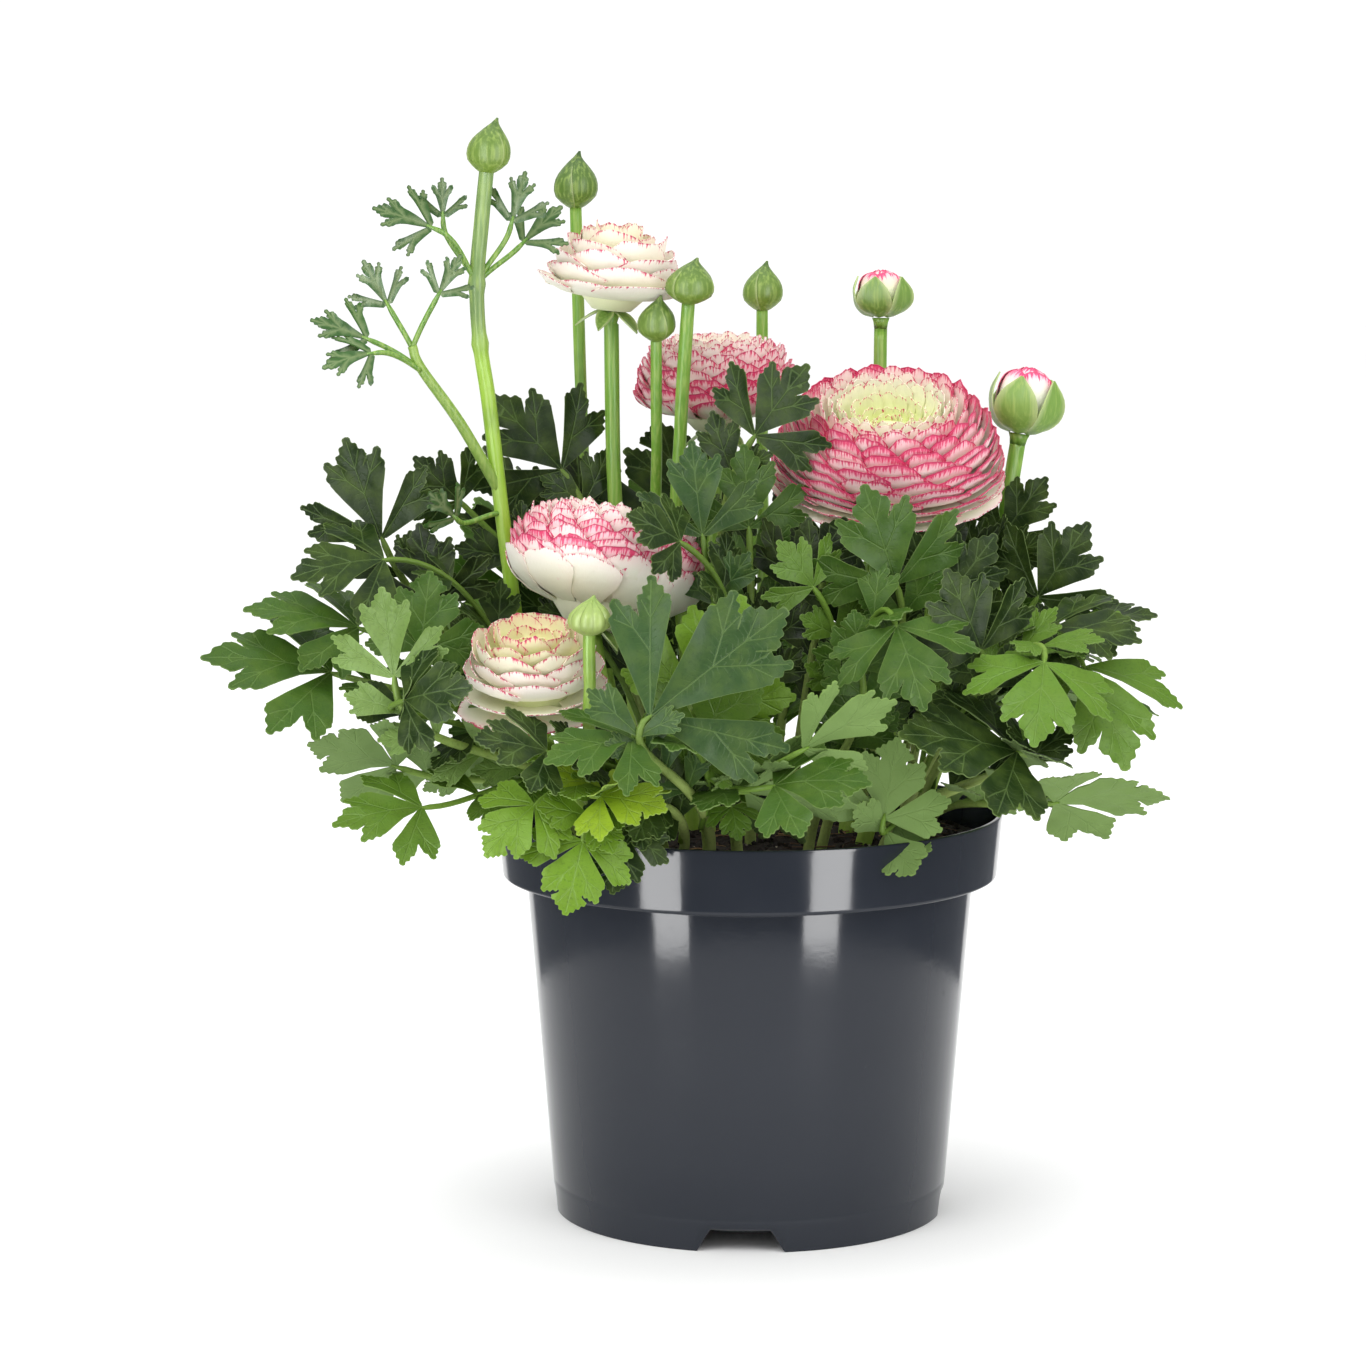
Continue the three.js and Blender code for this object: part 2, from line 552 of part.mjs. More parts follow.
// Roots: each stem and spray takes the free place of a six-sided pattern that is nearest to it
function rootPattern() {
  const places = [];
  const rows = Math.ceil(ROOT_REACH / (ROOT_SPACING * ROW_SPACING));
  for (let row = -rows; row <= rows; row += 1) {
    for (let column = -rows; column <= rows; column += 1) {
      const x = ROOT_SPACING * (column + (row % 2 === 0 ? 0 : 0.5));
      const y = ROOT_SPACING * ROW_SPACING * row;
      if (Math.hypot(x, y) <= ROOT_REACH) places.push([x, y]);
    }
  }
  return places;
}

function takeRoot(places, [x, y]) {
  let best = 0;
  places.forEach((place, i) => {
    const distance = Math.hypot(place[0] - x, place[1] - y);
    const shortest = Math.hypot(places[best][0] - x, places[best][1] - y);
    if (distance < shortest) best = i;
  });
  return places.splice(best, 1)[0];
}

// Which lobes the right, middle and left leaflets have: -1 to the right, 0 ahead, 1 to the left
const FULL_LOBES = { right: [-1, 0], middle: [-1, 0, 1], left: [0, 1] };
const PLAIN_LOBES = { right: [0], middle: [-1, 0, 1], left: [0] };
const NARROW_LOBES = { right: [0], middle: [0], left: [0] };

// One leaf's flat outline: three leaflets cut into lobes, round the hub where they meet.
// Each lobe is a fan of triangles from the leaflet's own hub. A side lobe has a tooth on its outer
// edge only, and the lobe ahead has one on each free edge.
function leafPattern(form, length, lobeRows) {
  const points = [];
  const ribs = [];
  const faces = [];
  const outline = [];
  const add = (point, rib) => {
    points.push(point);
    ribs.push(rib);
    return points.length - 1;
  };
  const polar = (origin, radius, degrees) => new THREE.Vector2(
    origin.x + radius * Math.cos(degrees * RADIANS),
    origin.y + radius * Math.sin(degrees * RADIANS),
  );
  const centre = new THREE.Vector2(0, 0);
  const necks = [-NECK_TURN, -form.fan / 2, form.fan / 2, NECK_TURN].map(
    (degrees) => add(polar(centre, NECK_RADIUS, degrees), 0),
  );
  const leaflets = [
    { turn: -form.fan, size: form.reach * length, lobes: lobeRows.right },
    { turn: 0, size: length, lobes: lobeRows.middle },
    { turn: form.fan, size: form.reach * length, lobes: lobeRows.left },
  ];
  leaflets.forEach(({ turn, size, lobes }, k) => {
    const right = necks[k];
    const left = necks[k + 1];
    const hub = add(polar(centre, form.hub * size, turn), 0);
    faces.push([right, hub, left]);
    outline.push(right);
    lobes.forEach((lobe, j) => {
      const heading = turn + lobe * form.turn;
      const reach = (1 - form.hub) * size * (lobe === 0 ? 1 : form.side);
      const origin = points[hub];
      const shoulder = polar(origin, form.shoulder * reach, heading);
      const edge = [];
      if (lobe < 1 && !(lobe === 0 && turn < 0 && lobes.length > 1)) {
        edge.push(add(polar(shoulder, form.width * reach, heading - 90), 1));
      }
      edge.push(add(polar(origin, reach, heading), 0));
      if (lobe > -1 && !(lobe === 0 && turn > 0 && lobes.length > 1)) {
        edge.push(add(polar(shoulder, form.width * reach, heading + 90), 1));
      }
      if (j + 1 < lobes.length) {
        const sinusReach = form.sinus * (1 - form.hub) * size;
        edge.push(add(polar(origin, sinusReach, heading + form.turn / 2), 1));
      }
      let before = j === 0 ? right : outline[outline.length - 1];
      for (const after of edge) {
        faces.push([hub, before, after]);
        before = after;
      }
      outline.push(...edge);
      if (j + 1 === lobes.length) faces.push([hub, before, left]);
    });
  });
  faces.push([necks[0], necks[1], necks[2]], [necks[0], necks[2], necks[3]]);
  outline.push(necks[3]);
  const ends = [necks[0], necks[3]];
  return { points, ribs, faces, outline, ends };
}

// The leaf's frame: its hub, and the axes along it, across it and out of its upper side.
// Its chord runs from the hub to the tip, and the bend turns the axes back by half its angle.
function leafFrame(hub, tip, face, bend) {
  const chord = tip.clone().sub(hub);
  const span = chord.length();
  chord.normalize();
  const up = face.clone().addScaledVector(chord, -face.dot(chord)).normalize();
  const across = new THREE.Vector3().crossVectors(up, chord);
  const half = bend / 2;
  const along = chord.clone().multiplyScalar(Math.cos(half)).addScaledVector(up, Math.sin(half));
  const out = up.clone().multiplyScalar(Math.cos(half)).addScaledVector(chord, -Math.sin(half));
  const length = span * (half / Math.sin(half));
  return { hub, along, across, out, length };
}

function bendLeaf(pattern, frame, bend) {
  const arc = frame.length / bend;
  const points = [];
  const normals = [];
  pattern.points.forEach((flat, i) => {
    const radius = flat.length();
    const angle = radius / arc;
    const heading = radius > 0 ? flat.clone().divideScalar(radius) : new THREE.Vector2(1, 0);
    const direction = frame.along.clone().multiplyScalar(heading.x)
      .addScaledVector(frame.across, heading.y);
    const normal = frame.out.clone().multiplyScalar(Math.cos(angle))
      .addScaledVector(direction, Math.sin(angle));
    const point = frame.hub.clone()
      .addScaledVector(direction, arc * Math.sin(angle))
      .addScaledVector(frame.out, -arc * (1 - Math.cos(angle)))
      .addScaledVector(normal, EDGE_LIFT * frame.length * pattern.ribs[i]);
    points.push(point);
    normals.push(normal);
  });
  return { points, normals };
}

// A leaf and its stalk are one closed skin: the stalk is square, and its last ring is the four
// corners of the blade's rear edge. The blade has the same triangles on both faces.
function leafSolid([formName, hubAt, tipAt, faceAt, bend], lobeRows, stalkPoints, radii) {
  const frame = leafFrame(vector(hubAt), vector(tipAt), vector(faceAt), bend);
  const pattern = leafPattern(LEAF_FORMS[formName], frame.length, lobeRows);
  const { points, normals } = bendLeaf(pattern, frame, bend);
  const count = points.length;
  const [right, left] = pattern.ends;
  const path = stalkPoints(frame);
  const all = [
    ...points.map((point, i) => point.clone().addScaledVector(normals[i], BLADE / 2)),
    ...points.map((point, i) => point.clone().addScaledVector(normals[i], -BLADE / 2)),
    ...stalkRings(path, frame, radii),
  ];
  const faces = [];
  for (const [a, b, c] of pattern.faces) {
    faces.push([a, b, c], [a + count, c + count, b + count]);
  }
  for (let i = 0; i + 1 < pattern.outline.length; i += 1) {
    const a = pattern.outline[i];
    const b = pattern.outline[i + 1];
    faces.push([a + count, b + count, b], [a + count, b, a]);
  }
  let ring = [right, left, left + count, right + count];
  for (let i = 0; i < path.length; i += 1) {
    const first = 2 * count + 4 * i;
    const next = [first, first + 1, first + 2, first + 3];
    for (let k = 0; k < 4; k += 1) {
      const l = (k + 1) % 4;
      faces.push([ring[k], ring[l], next[l]], [ring[k], next[l], next[k]]);
    }
    ring = next;
  }
  faces.push([ring[0], ring[1], ring[2]], [ring[0], ring[2], ring[3]]);
  return solidFromFaces(all, faces);
}

// Square rings down the stalk, from just behind the blade to the foot, with no twist
function stalkRings(path, frame, [endRadius, footRadius]) {
  const across = frame.across.clone();
  return path.flatMap((point, i) => {
    const above = i === 0 ? frame.hub : path[i - 1];
    const below = path[Math.min(path.length - 1, i + 1)];
    const down = below.clone().sub(above).normalize();
    across.addScaledVector(down, -across.dot(down)).normalize();
    const out = new THREE.Vector3().crossVectors(across, down);
    const side = Math.SQRT1_2 * THREE.MathUtils.lerp(endRadius, footRadius, i / (path.length - 1));
    return [[-1, 1], [1, 1], [1, -1], [-1, -1]].map(([x, y]) => (
      point.clone().addScaledVector(across, x * side).addScaledVector(out, y * side)
    ));
  });
}

// Stalk of a leaf, from the blade down: it leaves its foot upright and ends in line with the blade
function stalkCurve(frame, foot, bow) {
  const end = frame.hub.clone().addScaledVector(frame.along, -STALK_GAP);
  const reach = end.distanceTo(foot);
  const out = end.clone().sub(foot).setZ(0).normalize();
  const sideways = new THREE.Vector3(-out.y, out.x, 0);
  const rise = foot.clone().addScaledVector(out, STALK_SPREAD * reach).addScaledVector(sideways, bow);
  rise.z += STALK_RISE * reach;
  const fall = end.clone().addScaledVector(frame.along, -STALK_FALL * reach);
  fall.addScaledVector(sideways, bow);
  return [end, fall, rise, foot];
}

function curvePoints(curve, steps) {
  const path = [];
  for (let i = 0; i <= steps; i += 1) path.push(bezier(curve, i / steps));
  return path;
}

// All changes a spray may take, the smallest first
function bendChoices() {
  const choices = [];
  for (const lean of LEANS) {
    for (const bow of BOWS) {
      for (const turn of TURNS) {
        const weight = Math.abs(turn) + LEAN_WEIGHT * Math.abs(lean) + BOW_WEIGHT * Math.abs(bow);
        choices.push({ turn, lean, bow, weight });
      }
    }
  }
  return choices.sort((a, b) => a.weight - b.weight);
}

// The spray's matrix: it turns about the upright line through its root, and leans outwards there
function sprayMatrix(root, turn, lean) {
  const outward = new THREE.Vector3(-root.y, root.x, 0);
  if (outward.length() < 1) outward.set(1, 0, 0);
  outward.normalize();
  const rotation = new THREE.Quaternion().setFromAxisAngle(outward, -lean * RADIANS);
  const spin = new THREE.Quaternion().setFromAxisAngle(new THREE.Vector3(0, 0, 1), turn * RADIANS);
  return new THREE.Matrix4().compose(root, rotation.multiply(spin), new THREE.Vector3(1, 1, 1));
}

// Leaves of a spray in the spray's own frame, with its root as the origin. The first stalk stands
// in the soil, and the others branch from it a little above. Slivers along the joins are removed.
function spraySolid({ leaves, firstLobes }, root, bow) {
  const deep = new THREE.Vector3(0, 0, CLEARANCE - HOLE_DEPTH);
  let branch = null;
  const parts = leaves.map(([form, hub, tip, face, bend], i) => {
    const local = [form, vector(hub).sub(root).toArray(), vector(tip).sub(root).toArray(), face, bend];
    const stalkPoints = (frame) => {
      if (i > 0) return curvePoints(stalkCurve(frame, branch, bow), BRANCH_STEPS);
      const curve = stalkCurve(frame, new THREE.Vector3(0, 0, 0), bow);
      const path = curvePoints(curve, STALK_STEPS);
      branch = path[STALK_STEPS - 1].clone().lerp(path[STALK_STEPS], BRANCH_AT);
      return [...path, deep];
    };
    const radii = i === 0 ? [STALK_END_RADIUS, STALK_FOOT_RADIUS] : [BRANCH_RADIUS, BRANCH_RADIUS];
    return leafSolid(local, i === 0 ? firstLobes : PLAIN_LOBES, stalkPoints, radii);
  });
  return parts.reduce((whole, part) => whole.add(part)).simplify(SLIVER);
}

function boxesMeet(a, b) {
  const first = a.boundingBox();
  const second = b.boundingBox();
  return [0, 1, 2].every((k) => first.min[k] < second.max[k] && second.min[k] < first.max[k]);
}

function isClear(solid, placed) {
  return placed.every((other) => !boxesMeet(solid, other) || solid.intersect(other).isEmpty());
}

// Places a spray by the smallest change that keeps it clear of everything placed before it
function placeSpray(spray, root, placed) {
  const solids = new Map(BOWS.map((bow) => [bow, spraySolid(spray, root, bow)]));
  for (const { turn, lean, bow } of bendChoices()) {
    const matrix = sprayMatrix(root, turn, lean);
    const solid = solids.get(bow);
    const moved = solid.transform(matrix.toArray());
    if (isClear(moved, placed)) return { solid, moved, matrix };
  }
  return null;
}

function backSprayLeaves([bearing, reach, height, habits], draw) {
  const between = (low, high) => low + (high - low) * draw();
  return habits.map((name, i) => {
    const habit = BACK_HABITS[name];
    const side = habits.length > 1 ? 2 * i - 1 : 0;
    const angle = (bearing + side * BACK_LEAF_SPREAD) * RADIANS;
    const outward = [Math.cos(angle), Math.sin(angle)];
    const hubReach = reach - BACK_LEAF_INSET * i + between(-BACK_LEAF_SCATTER, BACK_LEAF_SCATTER);
    const hubHeight = height + BACK_LEAF_STEP * i + between(-BACK_LEAF_SCATTER, BACK_LEAF_SCATTER);
    const hub = [hubReach * outward[0], hubReach * outward[1], hubHeight];
    const length = between(...BACK_LEAF_LENGTH);
    const run = length * habit.outward;
    const tip = [hub[0] + run * outward[0], hub[1] + run * outward[1], hub[2] + habit.climb * length];
    const face = [habit.faceOutward * outward[0], habit.faceOutward * outward[1], habit.faceUp];
    const form = draw() < BACK_CUT_SHARE ? "cut" : "round";
    return [form, hub, tip, face, between(...BACK_LEAF_BEND)];
  });
}

// A stem's axis: upright in its hole, then smoothly through the points of the list
function stemPath(root, points, steps) {
  const curve = new THREE.CatmullRomCurve3(
    [vector([root[0], root[1], SOIL_TOP]), ...points.map(vector)],
    false,
    "catmullrom",
  );
  const path = [new THREE.Vector3(root[0], root[1], SOIL_TOP - HOLE_DEPTH + CLEARANCE)];
  for (let i = 0; i <= steps; i += 1) path.push(curve.getPoint(i / steps));
  return path;
}

// Bud: an egg with a drawn-out tip, ridged by its closed sepals
function budSolid(base, axis, [radius, height]) {
  const rotation = new THREE.Quaternion().setFromUnitVectors(new THREE.Vector3(0, 0, 1), axis);
  const points = [new THREE.Vector3(0, 0, 0)];
  BUD_PROFILE.forEach(([share, level]) => {
    for (let k = 0; k < BUD_SIDES; k += 1) {
      const angle = (2 * Math.PI * k) / BUD_SIDES;
      const ridge = radius * share * (1 + (k % 2 === 0 ? BUD_RIDGE : -BUD_RIDGE));
      points.push(new THREE.Vector3(ridge * Math.cos(angle), ridge * Math.sin(angle), level * height));
    }
  });
  points.push(new THREE.Vector3(BUD_TIP_LEAN * radius, 0, height));
  return closedRings(points, BUD_PROFILE.length, BUD_SIDES, rotation, base);
}

// Solid between a first point, rings of points and a last point
function closedRings(points, rings, sides, rotation, base) {
  const last = points.length - 1;
  const faces = [];
  for (let k = 0; k < sides; k += 1) {
    const next = (k + 1) % sides;
    faces.push([0, 1 + next, 1 + k]);
    for (let ring = 0; ring + 1 < rings; ring += 1) {
      const a = 1 + ring * sides + k;
      const b = 1 + ring * sides + next;
      faces.push([a, b, b + sides], [a, b + sides, a + sides]);
    }
    const top = 1 + (rings - 1) * sides;
    faces.push([last, top + k, top + next]);
  }
  const moved = points.map((point) => point.clone().applyQuaternion(rotation).add(base));
  return solidFromFaces(moved, faces);
}

function stemAxis(path) {
  const last = path.length - 1;
  return path[last].clone().sub(path[last - 1]).normalize();
}

// Calyx: one thin star or cup round the stem's end, with the sepals' corners shared
function calyxSolid(base, axis, sepal) {
  const centreHeight = -CLEARANCE - BLADE / 2;
  const rows = [[0, centreHeight, 0], [...CALYX_CORNER, 0], ...sepal];
  const slopes = rows.map((_, i) => {
    const [r0, z0] = rows[Math.max(0, i - 1)];
    const [r1, z1] = rows[Math.min(rows.length - 1, i + 1)];
    return new THREE.Vector2(r1 - r0, z1 - z0).normalize();
  });
  const points = [new THREE.Vector3(0, 0, centreHeight)];
  const normals = [new THREE.Vector3(0, 0, 1)];
  const add = (row, bearing, side) => {
    const [radius, height, halfWidth] = rows[row];
    const outward = new THREE.Vector3(Math.cos(bearing), Math.sin(bearing), 0);
    const sideways = new THREE.Vector3(-outward.y, outward.x, 0);
    const point = outward.clone().multiplyScalar(radius).addScaledVector(sideways, side * halfWidth);
    points.push(point.setZ(height));
    normals.push(outward.multiplyScalar(-slopes[row].y).setZ(slopes[row].x));
    return points.length - 1;
  };
  const sector = (2 * Math.PI) / SEPAL_COUNT;
  const corners = [];
  for (let i = 0; i < SEPAL_COUNT; i += 1) corners.push(add(1, i * sector, 0));
  const faces = [];
  const outline = [];
  for (let i = 0; i < SEPAL_COUNT; i += 1) {
    const bearing = (i + 0.5) * sector;
    let right = corners[i];
    let left = corners[(i + 1) % SEPAL_COUNT];
    faces.push([0, right, left]);
    outline.push(right);
    const back = [];
    for (let row = 2; row + 1 < rows.length; row += 1) {
      const nextRight = add(row, bearing, -1);
      const nextLeft = add(row, bearing, 1);
      faces.push([right, nextRight, nextLeft], [right, nextLeft, left]);
      outline.push(nextRight);
      back.unshift(nextLeft);
      right = nextRight;
      left = nextLeft;
    }
    const tip = add(rows.length - 1, bearing, 0);
    faces.push([right, tip, left]);
    outline.push(tip, ...back);
  }
  const rotation = new THREE.Quaternion().setFromUnitVectors(new THREE.Vector3(0, 0, 1), axis);
  points.forEach((point) => point.applyQuaternion(rotation).add(base));
  normals.forEach((normal) => normal.applyQuaternion(rotation));
  return blade(points, normals, faces, outline, BLADE);
}

// The stem with what grows on its end. It flares into a receptacle under a calyx, up to the middle
// of the blade, and an open bloom sets the way that the receptacle points.
function stemSolid(stem, root) {
  const path = stemPath(root, stem.points, stem.steps);
  const bloom = BLOOMS.find((row) => row.stem === stem.name);
  const axis = bloom ? vector(bloom.axis).normalize() : stemAxis(path);
  const base = path[path.length - 1].clone();
  const radii = path.map((_, i) => (i < 2 ? STEM_FOOT_RADIUS : stem.radius));
  if (stem.kind === "bud") {
    const bud = budSolid(base.clone().addScaledVector(axis, -BUD_SINK), axis, stem.bud);
    return { solid: tube(path, radii, STEM_SIDES).add(bud), base, axis };
  }
  path[path.length - 1].addScaledVector(axis, -RECEPTACLE_DEPTH);
  path.push(base.clone().addScaledVector(axis, -CLEARANCE - BLADE / 2));
  radii.push(RECEPTACLE_FLARE * stem.radius);
  const [radius, height] = stem.bud ?? [1, 1];
  const sepal = stem.bud ? BUD_SEPAL : BLOOM_SEPAL;
  const sized = sepal.map(([r, z, width]) => [r * radius, z * height, width * radius]);
  return { solid: tube(path, radii, STEM_SIDES).add(calyxSolid(base, axis, sized)), base, axis };
}

// A leaf on the tall stem: its short stalk starts inside the stem
function stemLeafSolid([foot, ...leaf]) {
  const start = vector(foot);
  const stalkPoints = (frame) => {
    const end = frame.hub.clone().addScaledVector(frame.along, -STALK_GAP);
    const reach = end.distanceTo(start);
    const rise = start.clone().lerp(end, STEM_LEAF_LEVEL);
    rise.z += STEM_LEAF_ARCH * reach;
    const fall = end.clone().addScaledVector(frame.along, -STALK_FALL * reach);
    return curvePoints([end, fall, rise, start], STEM_LEAF_STEPS);
  };
  const radii = [STEM_LEAF_RADIUS, STEM_LEAF_RADIUS];
  return leafSolid(["feather", ...leaf], NARROW_LOBES, stalkPoints, radii);
}

function sideShootSolid() {
  const curve = new THREE.CatmullRomCurve3(SIDE_SHOOT.map(vector), false, "catmullrom");
  const path = curve.getPoints(SIDE_SHOOT_STEPS);
  return tube(path, path.map(() => SIDE_SHOOT_RADIUS), STEM_SIDES);
}

// Petal: a curved blade on a ring's profile, with a rounded, slightly scalloped end
function petalSolid(bearing, halfAngle, [root, belly, edge]) {
  const points = [];
  const normals = [];
  for (const { along, width, places } of PETAL_ROWS) {
    for (const place of places) {
      const t = along === 1 && place !== 0 ? PETAL_CORNER : along;
      const s = 1 - t;
      const radius = s * s * root[0] + 2 * s * t * belly[0] + t * t * edge[0];
      const height = s * s * root[1] + 2 * s * t * belly[1] + t * t * edge[1];
      const slope = new THREE.Vector2(
        s * (belly[0] - root[0]) + t * (edge[0] - belly[0]),
        s * (belly[1] - root[1]) + t * (edge[1] - belly[1]),
      ).normalize();
      const angle = bearing + place * width * halfAngle;
      const outward = new THREE.Vector3(Math.cos(angle), Math.sin(angle), 0);
      const reach = radius + (along === 1 ? PETAL_FLARE * Math.abs(place) : 0);
      points.push(outward.clone().multiplyScalar(reach).setZ(height));
      normals.push(outward.clone().multiplyScalar(slope.y).setZ(-slope.x));
    }
  }
  const faces = [[0, 1, 3], [0, 3, 2], [2, 5, 4], [2, 3, 5], [3, 6, 5]];
  const outline = [0, 1, 3, 6, 5, 4, 2];
  return blade(points, normals, faces, outline, PETAL);
}

// Radius of the bloom's core at a height, both as shares
function coreRadius(level) {
  for (let i = 1; i < CORE_PROFILE.length; i += 1) {
    const [r0, z0] = CORE_PROFILE[i - 1];
    const [r1, z1] = CORE_PROFILE[i];
    if (level <= z1 && z1 > z0) return THREE.MathUtils.lerp(r0, r1, (level - z0) / (z1 - z0));
  }
  return 0;
}

function bloomSolid({ radius, height, rings, open }) {
  const profile = CORE_PROFILE.map(([share, level]) => [share * radius, level * height]);
  profile[0][1] = 0;
  profile[1][1] = 0;
  let solid = solidFromGeometry(lathe(profile, CORE_SIDES));
  rings.forEach(([count, share, level], k) => {
    const rootLevel = THREE.MathUtils.lerp(ROOT_LOW, ROOT_HIGH, k / (rings.length - 1));
    const rootRadius = Math.max(1, coreRadius(rootLevel) * radius - ROOT_DEPTH);
    const root = [rootRadius, rootLevel * height];
    const edge = [share * radius, level * height];
    const fullness = k === 0 ? 0 : open * OPEN_BELLY;
    const belly = [
      Math.max(edge[0] + fullness, root[0] + BELLY_REACH),
      THREE.MathUtils.lerp(root[1], edge[1], BELLY_LEVEL),
    ];
    const sector = (2 * Math.PI) / count;
    for (let i = 0; i < count; i += 1) {
      const bearing = (i + RING_STAGGER * (k % 2) + RING_TURN * k) * sector;
      solid = solid.add(petalSolid(bearing, 0.5 * PETAL_FILL * sector, [root, belly, edge]));
    }
  });
  return solid;
}

// Petals of an opening bud: a tight egg with a few folds
function budPetals(base, axis, [radius, height]) {
  const rotation = new THREE.Quaternion().setFromUnitVectors(new THREE.Vector3(0, 0, 1), axis);
  const points = [new THREE.Vector3(0, 0, 0)];
  BUD_PETAL_PROFILE.forEach(([share, level], ring) => {
    for (let k = 0; k < BUD_SIDES; k += 1) {
      const angle = (2 * Math.PI * (k + BUD_PETAL_TWIST * ring)) / BUD_SIDES;
      const fold = radius * share * (1 + (k % 2 === 0 ? BUD_PETAL_FOLD : -BUD_PETAL_FOLD));
      points.push(new THREE.Vector3(fold * Math.cos(angle), fold * Math.sin(angle), level * height));
    }
  });
  points.push(new THREE.Vector3(0, 0, BUD_PETAL_TIP * height));
  return closedRings(points, BUD_PETAL_PROFILE.length, BUD_SIDES, rotation, base);
}

const material = (color, roughness) => new THREE.MeshStandardMaterial({ color, roughness, metalness: 0 });
const materials = {
  pot: material(COLOURS.pot, 0.3),
  soil: material(COLOURS.soil, 0.95),
  stem: material(COLOURS.stem, 0.55),
  leaf: material(COLOURS.leaf, 0.5),
  petal: material(COLOURS.petal, 0.6),
  picotee: material(COLOURS.picotee, 0.6),
};

function namedMesh(name, geometry, meshMaterial) {
  const mesh = new THREE.Mesh(geometry, meshMaterial);
  mesh.name = name;
  return mesh;
}

const group = new THREE.Group();
const placed = [];

function addSolid(name, solid, meshMaterial) {
  group.add(namedMesh(name, geometryFromSolid(solid), meshMaterial));
  placed.push(solid);
}

// Where each stem and spray stands in the soil
const places = rootPattern();
const rootNear = ([x, y], share) => takeRoot(places, [share * x, share * y]);
const stemRoots = STEMS.map(({ points }) => rootNear(points[0], STEM_FOOT_SHARE));
const draw = seededRandom(BACK_SEED);
const sprays = [
  ...SPRAYS.map(([name, leaves]) => ({
    name,
    leaves,
    firstLobes: leaves[0][1][1] < FRONT_DEPTH ? FULL_LOBES : PLAIN_LOBES,
  })),
  ...BACK_SPRAYS.map((row, i) => ({
    name: `spray_back_${i + 1}`,
    leaves: backSprayLeaves(row, draw),
    firstLobes: PLAIN_LOBES,
  })),
];
const sprayRoots = sprays.map(({ leaves }) => {
  const hub = leaves[0][1];
  const share = THREE.MathUtils.mapLinear(hub[2], LOW_HUB, HIGH_HUB, LOW_FOOT_SHARE, HIGH_FOOT_SHARE);
  return rootNear(hub, share);
});

addSolid("pot", potSolid(), materials.pot);
addSolid("soil", soilSolid([...stemRoots, ...sprayRoots]), materials.soil);

// Stems with their buds, and the petals that opening buds hold
const carried = new Map();
STEMS.forEach((stem, i) => {
  const { solid, base, axis } = stemSolid(stem, stemRoots[i]);
  carried.set(stem.name, base);
  let whole = solid;
  if (i === 0) {
    whole = whole.add(sideShootSolid());
    for (const leaf of [...STEM_LEAVES, ...SIDE_LEAVES]) whole = whole.add(stemLeafSolid(leaf));
  }
  addSolid(stem.name, whole, materials.stem);
  if (stem.petals) addSolid(stem.petals, budPetals(base, axis, stem.bud), materials.petal);
});

// Blooms stand on their receptacles, each turned to its own axis
for (const bloom of BLOOMS) {
  const solid = bloomSolid(bloom);
  const mesh = namedMesh(bloom.name, geometryFromSolid(solid), materials.picotee);
  mesh.position.copy(carried.get(bloom.stem));
  const axis = vector(bloom.axis).normalize();
  mesh.quaternion.setFromUnitVectors(new THREE.Vector3(0, 0, 1), axis);
  mesh.updateMatrix();
  group.add(mesh);
  placed.push(solid.transform(mesh.matrix.toArray()));
}

sprays.forEach((spray, i) => {
  const { name } = spray;
  const root = vector([...sprayRoots[i], SOIL_TOP]);
  const found = placeSpray(spray, root, placed);
  if (!found) throw new Error(`${name} has no clear place`);
  const mesh = namedMesh(name, geometryFromSolid(found.solid), materials.leaf);
  found.matrix.decompose(mesh.position, mesh.quaternion, mesh.scale);
  group.add(mesh);
  placed.push(found.moved);
});

export default group;
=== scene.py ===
"""Looks of the potted persian buttercup: a dark plastic pot of peat, flowering stems with buds, five
double blooms and sprays of lobed leaves, on a pale studio floor. Sizes are in millimetres unless
a name says otherwise, in the same frame as the solids, whose forms these pieces follow."""
import math

import bpy
import numpy as np
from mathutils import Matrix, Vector
from mathutils.geometry import delaunay_2d_cdt


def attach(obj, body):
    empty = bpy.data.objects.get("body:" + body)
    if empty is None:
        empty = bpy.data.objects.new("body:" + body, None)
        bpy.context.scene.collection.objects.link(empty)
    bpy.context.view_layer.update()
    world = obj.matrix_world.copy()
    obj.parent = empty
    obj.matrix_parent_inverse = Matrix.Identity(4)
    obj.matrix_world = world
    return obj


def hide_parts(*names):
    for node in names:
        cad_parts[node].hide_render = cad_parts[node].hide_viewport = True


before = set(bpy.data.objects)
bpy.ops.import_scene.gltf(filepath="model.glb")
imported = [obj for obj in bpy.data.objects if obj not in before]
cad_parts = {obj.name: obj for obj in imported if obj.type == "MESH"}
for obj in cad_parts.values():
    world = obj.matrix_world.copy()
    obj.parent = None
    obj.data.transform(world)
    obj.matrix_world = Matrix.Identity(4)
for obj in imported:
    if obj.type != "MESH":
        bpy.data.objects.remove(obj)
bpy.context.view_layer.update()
MM = 0.001
UP = np.array([0.0, 0.0, 1.0])
FULL_TURN = 2 * math.pi

# Camera: the photograph's view, fitted to the pot's rim and foot
CAMERA_PLACE = (-25.1, -1600.0, 410.6)
CAMERA_PITCH = 0.1311
PHOTO_WIDTH = 1366
FOCAL_PIXELS = 4307
SENSOR_WIDTH = 36.0

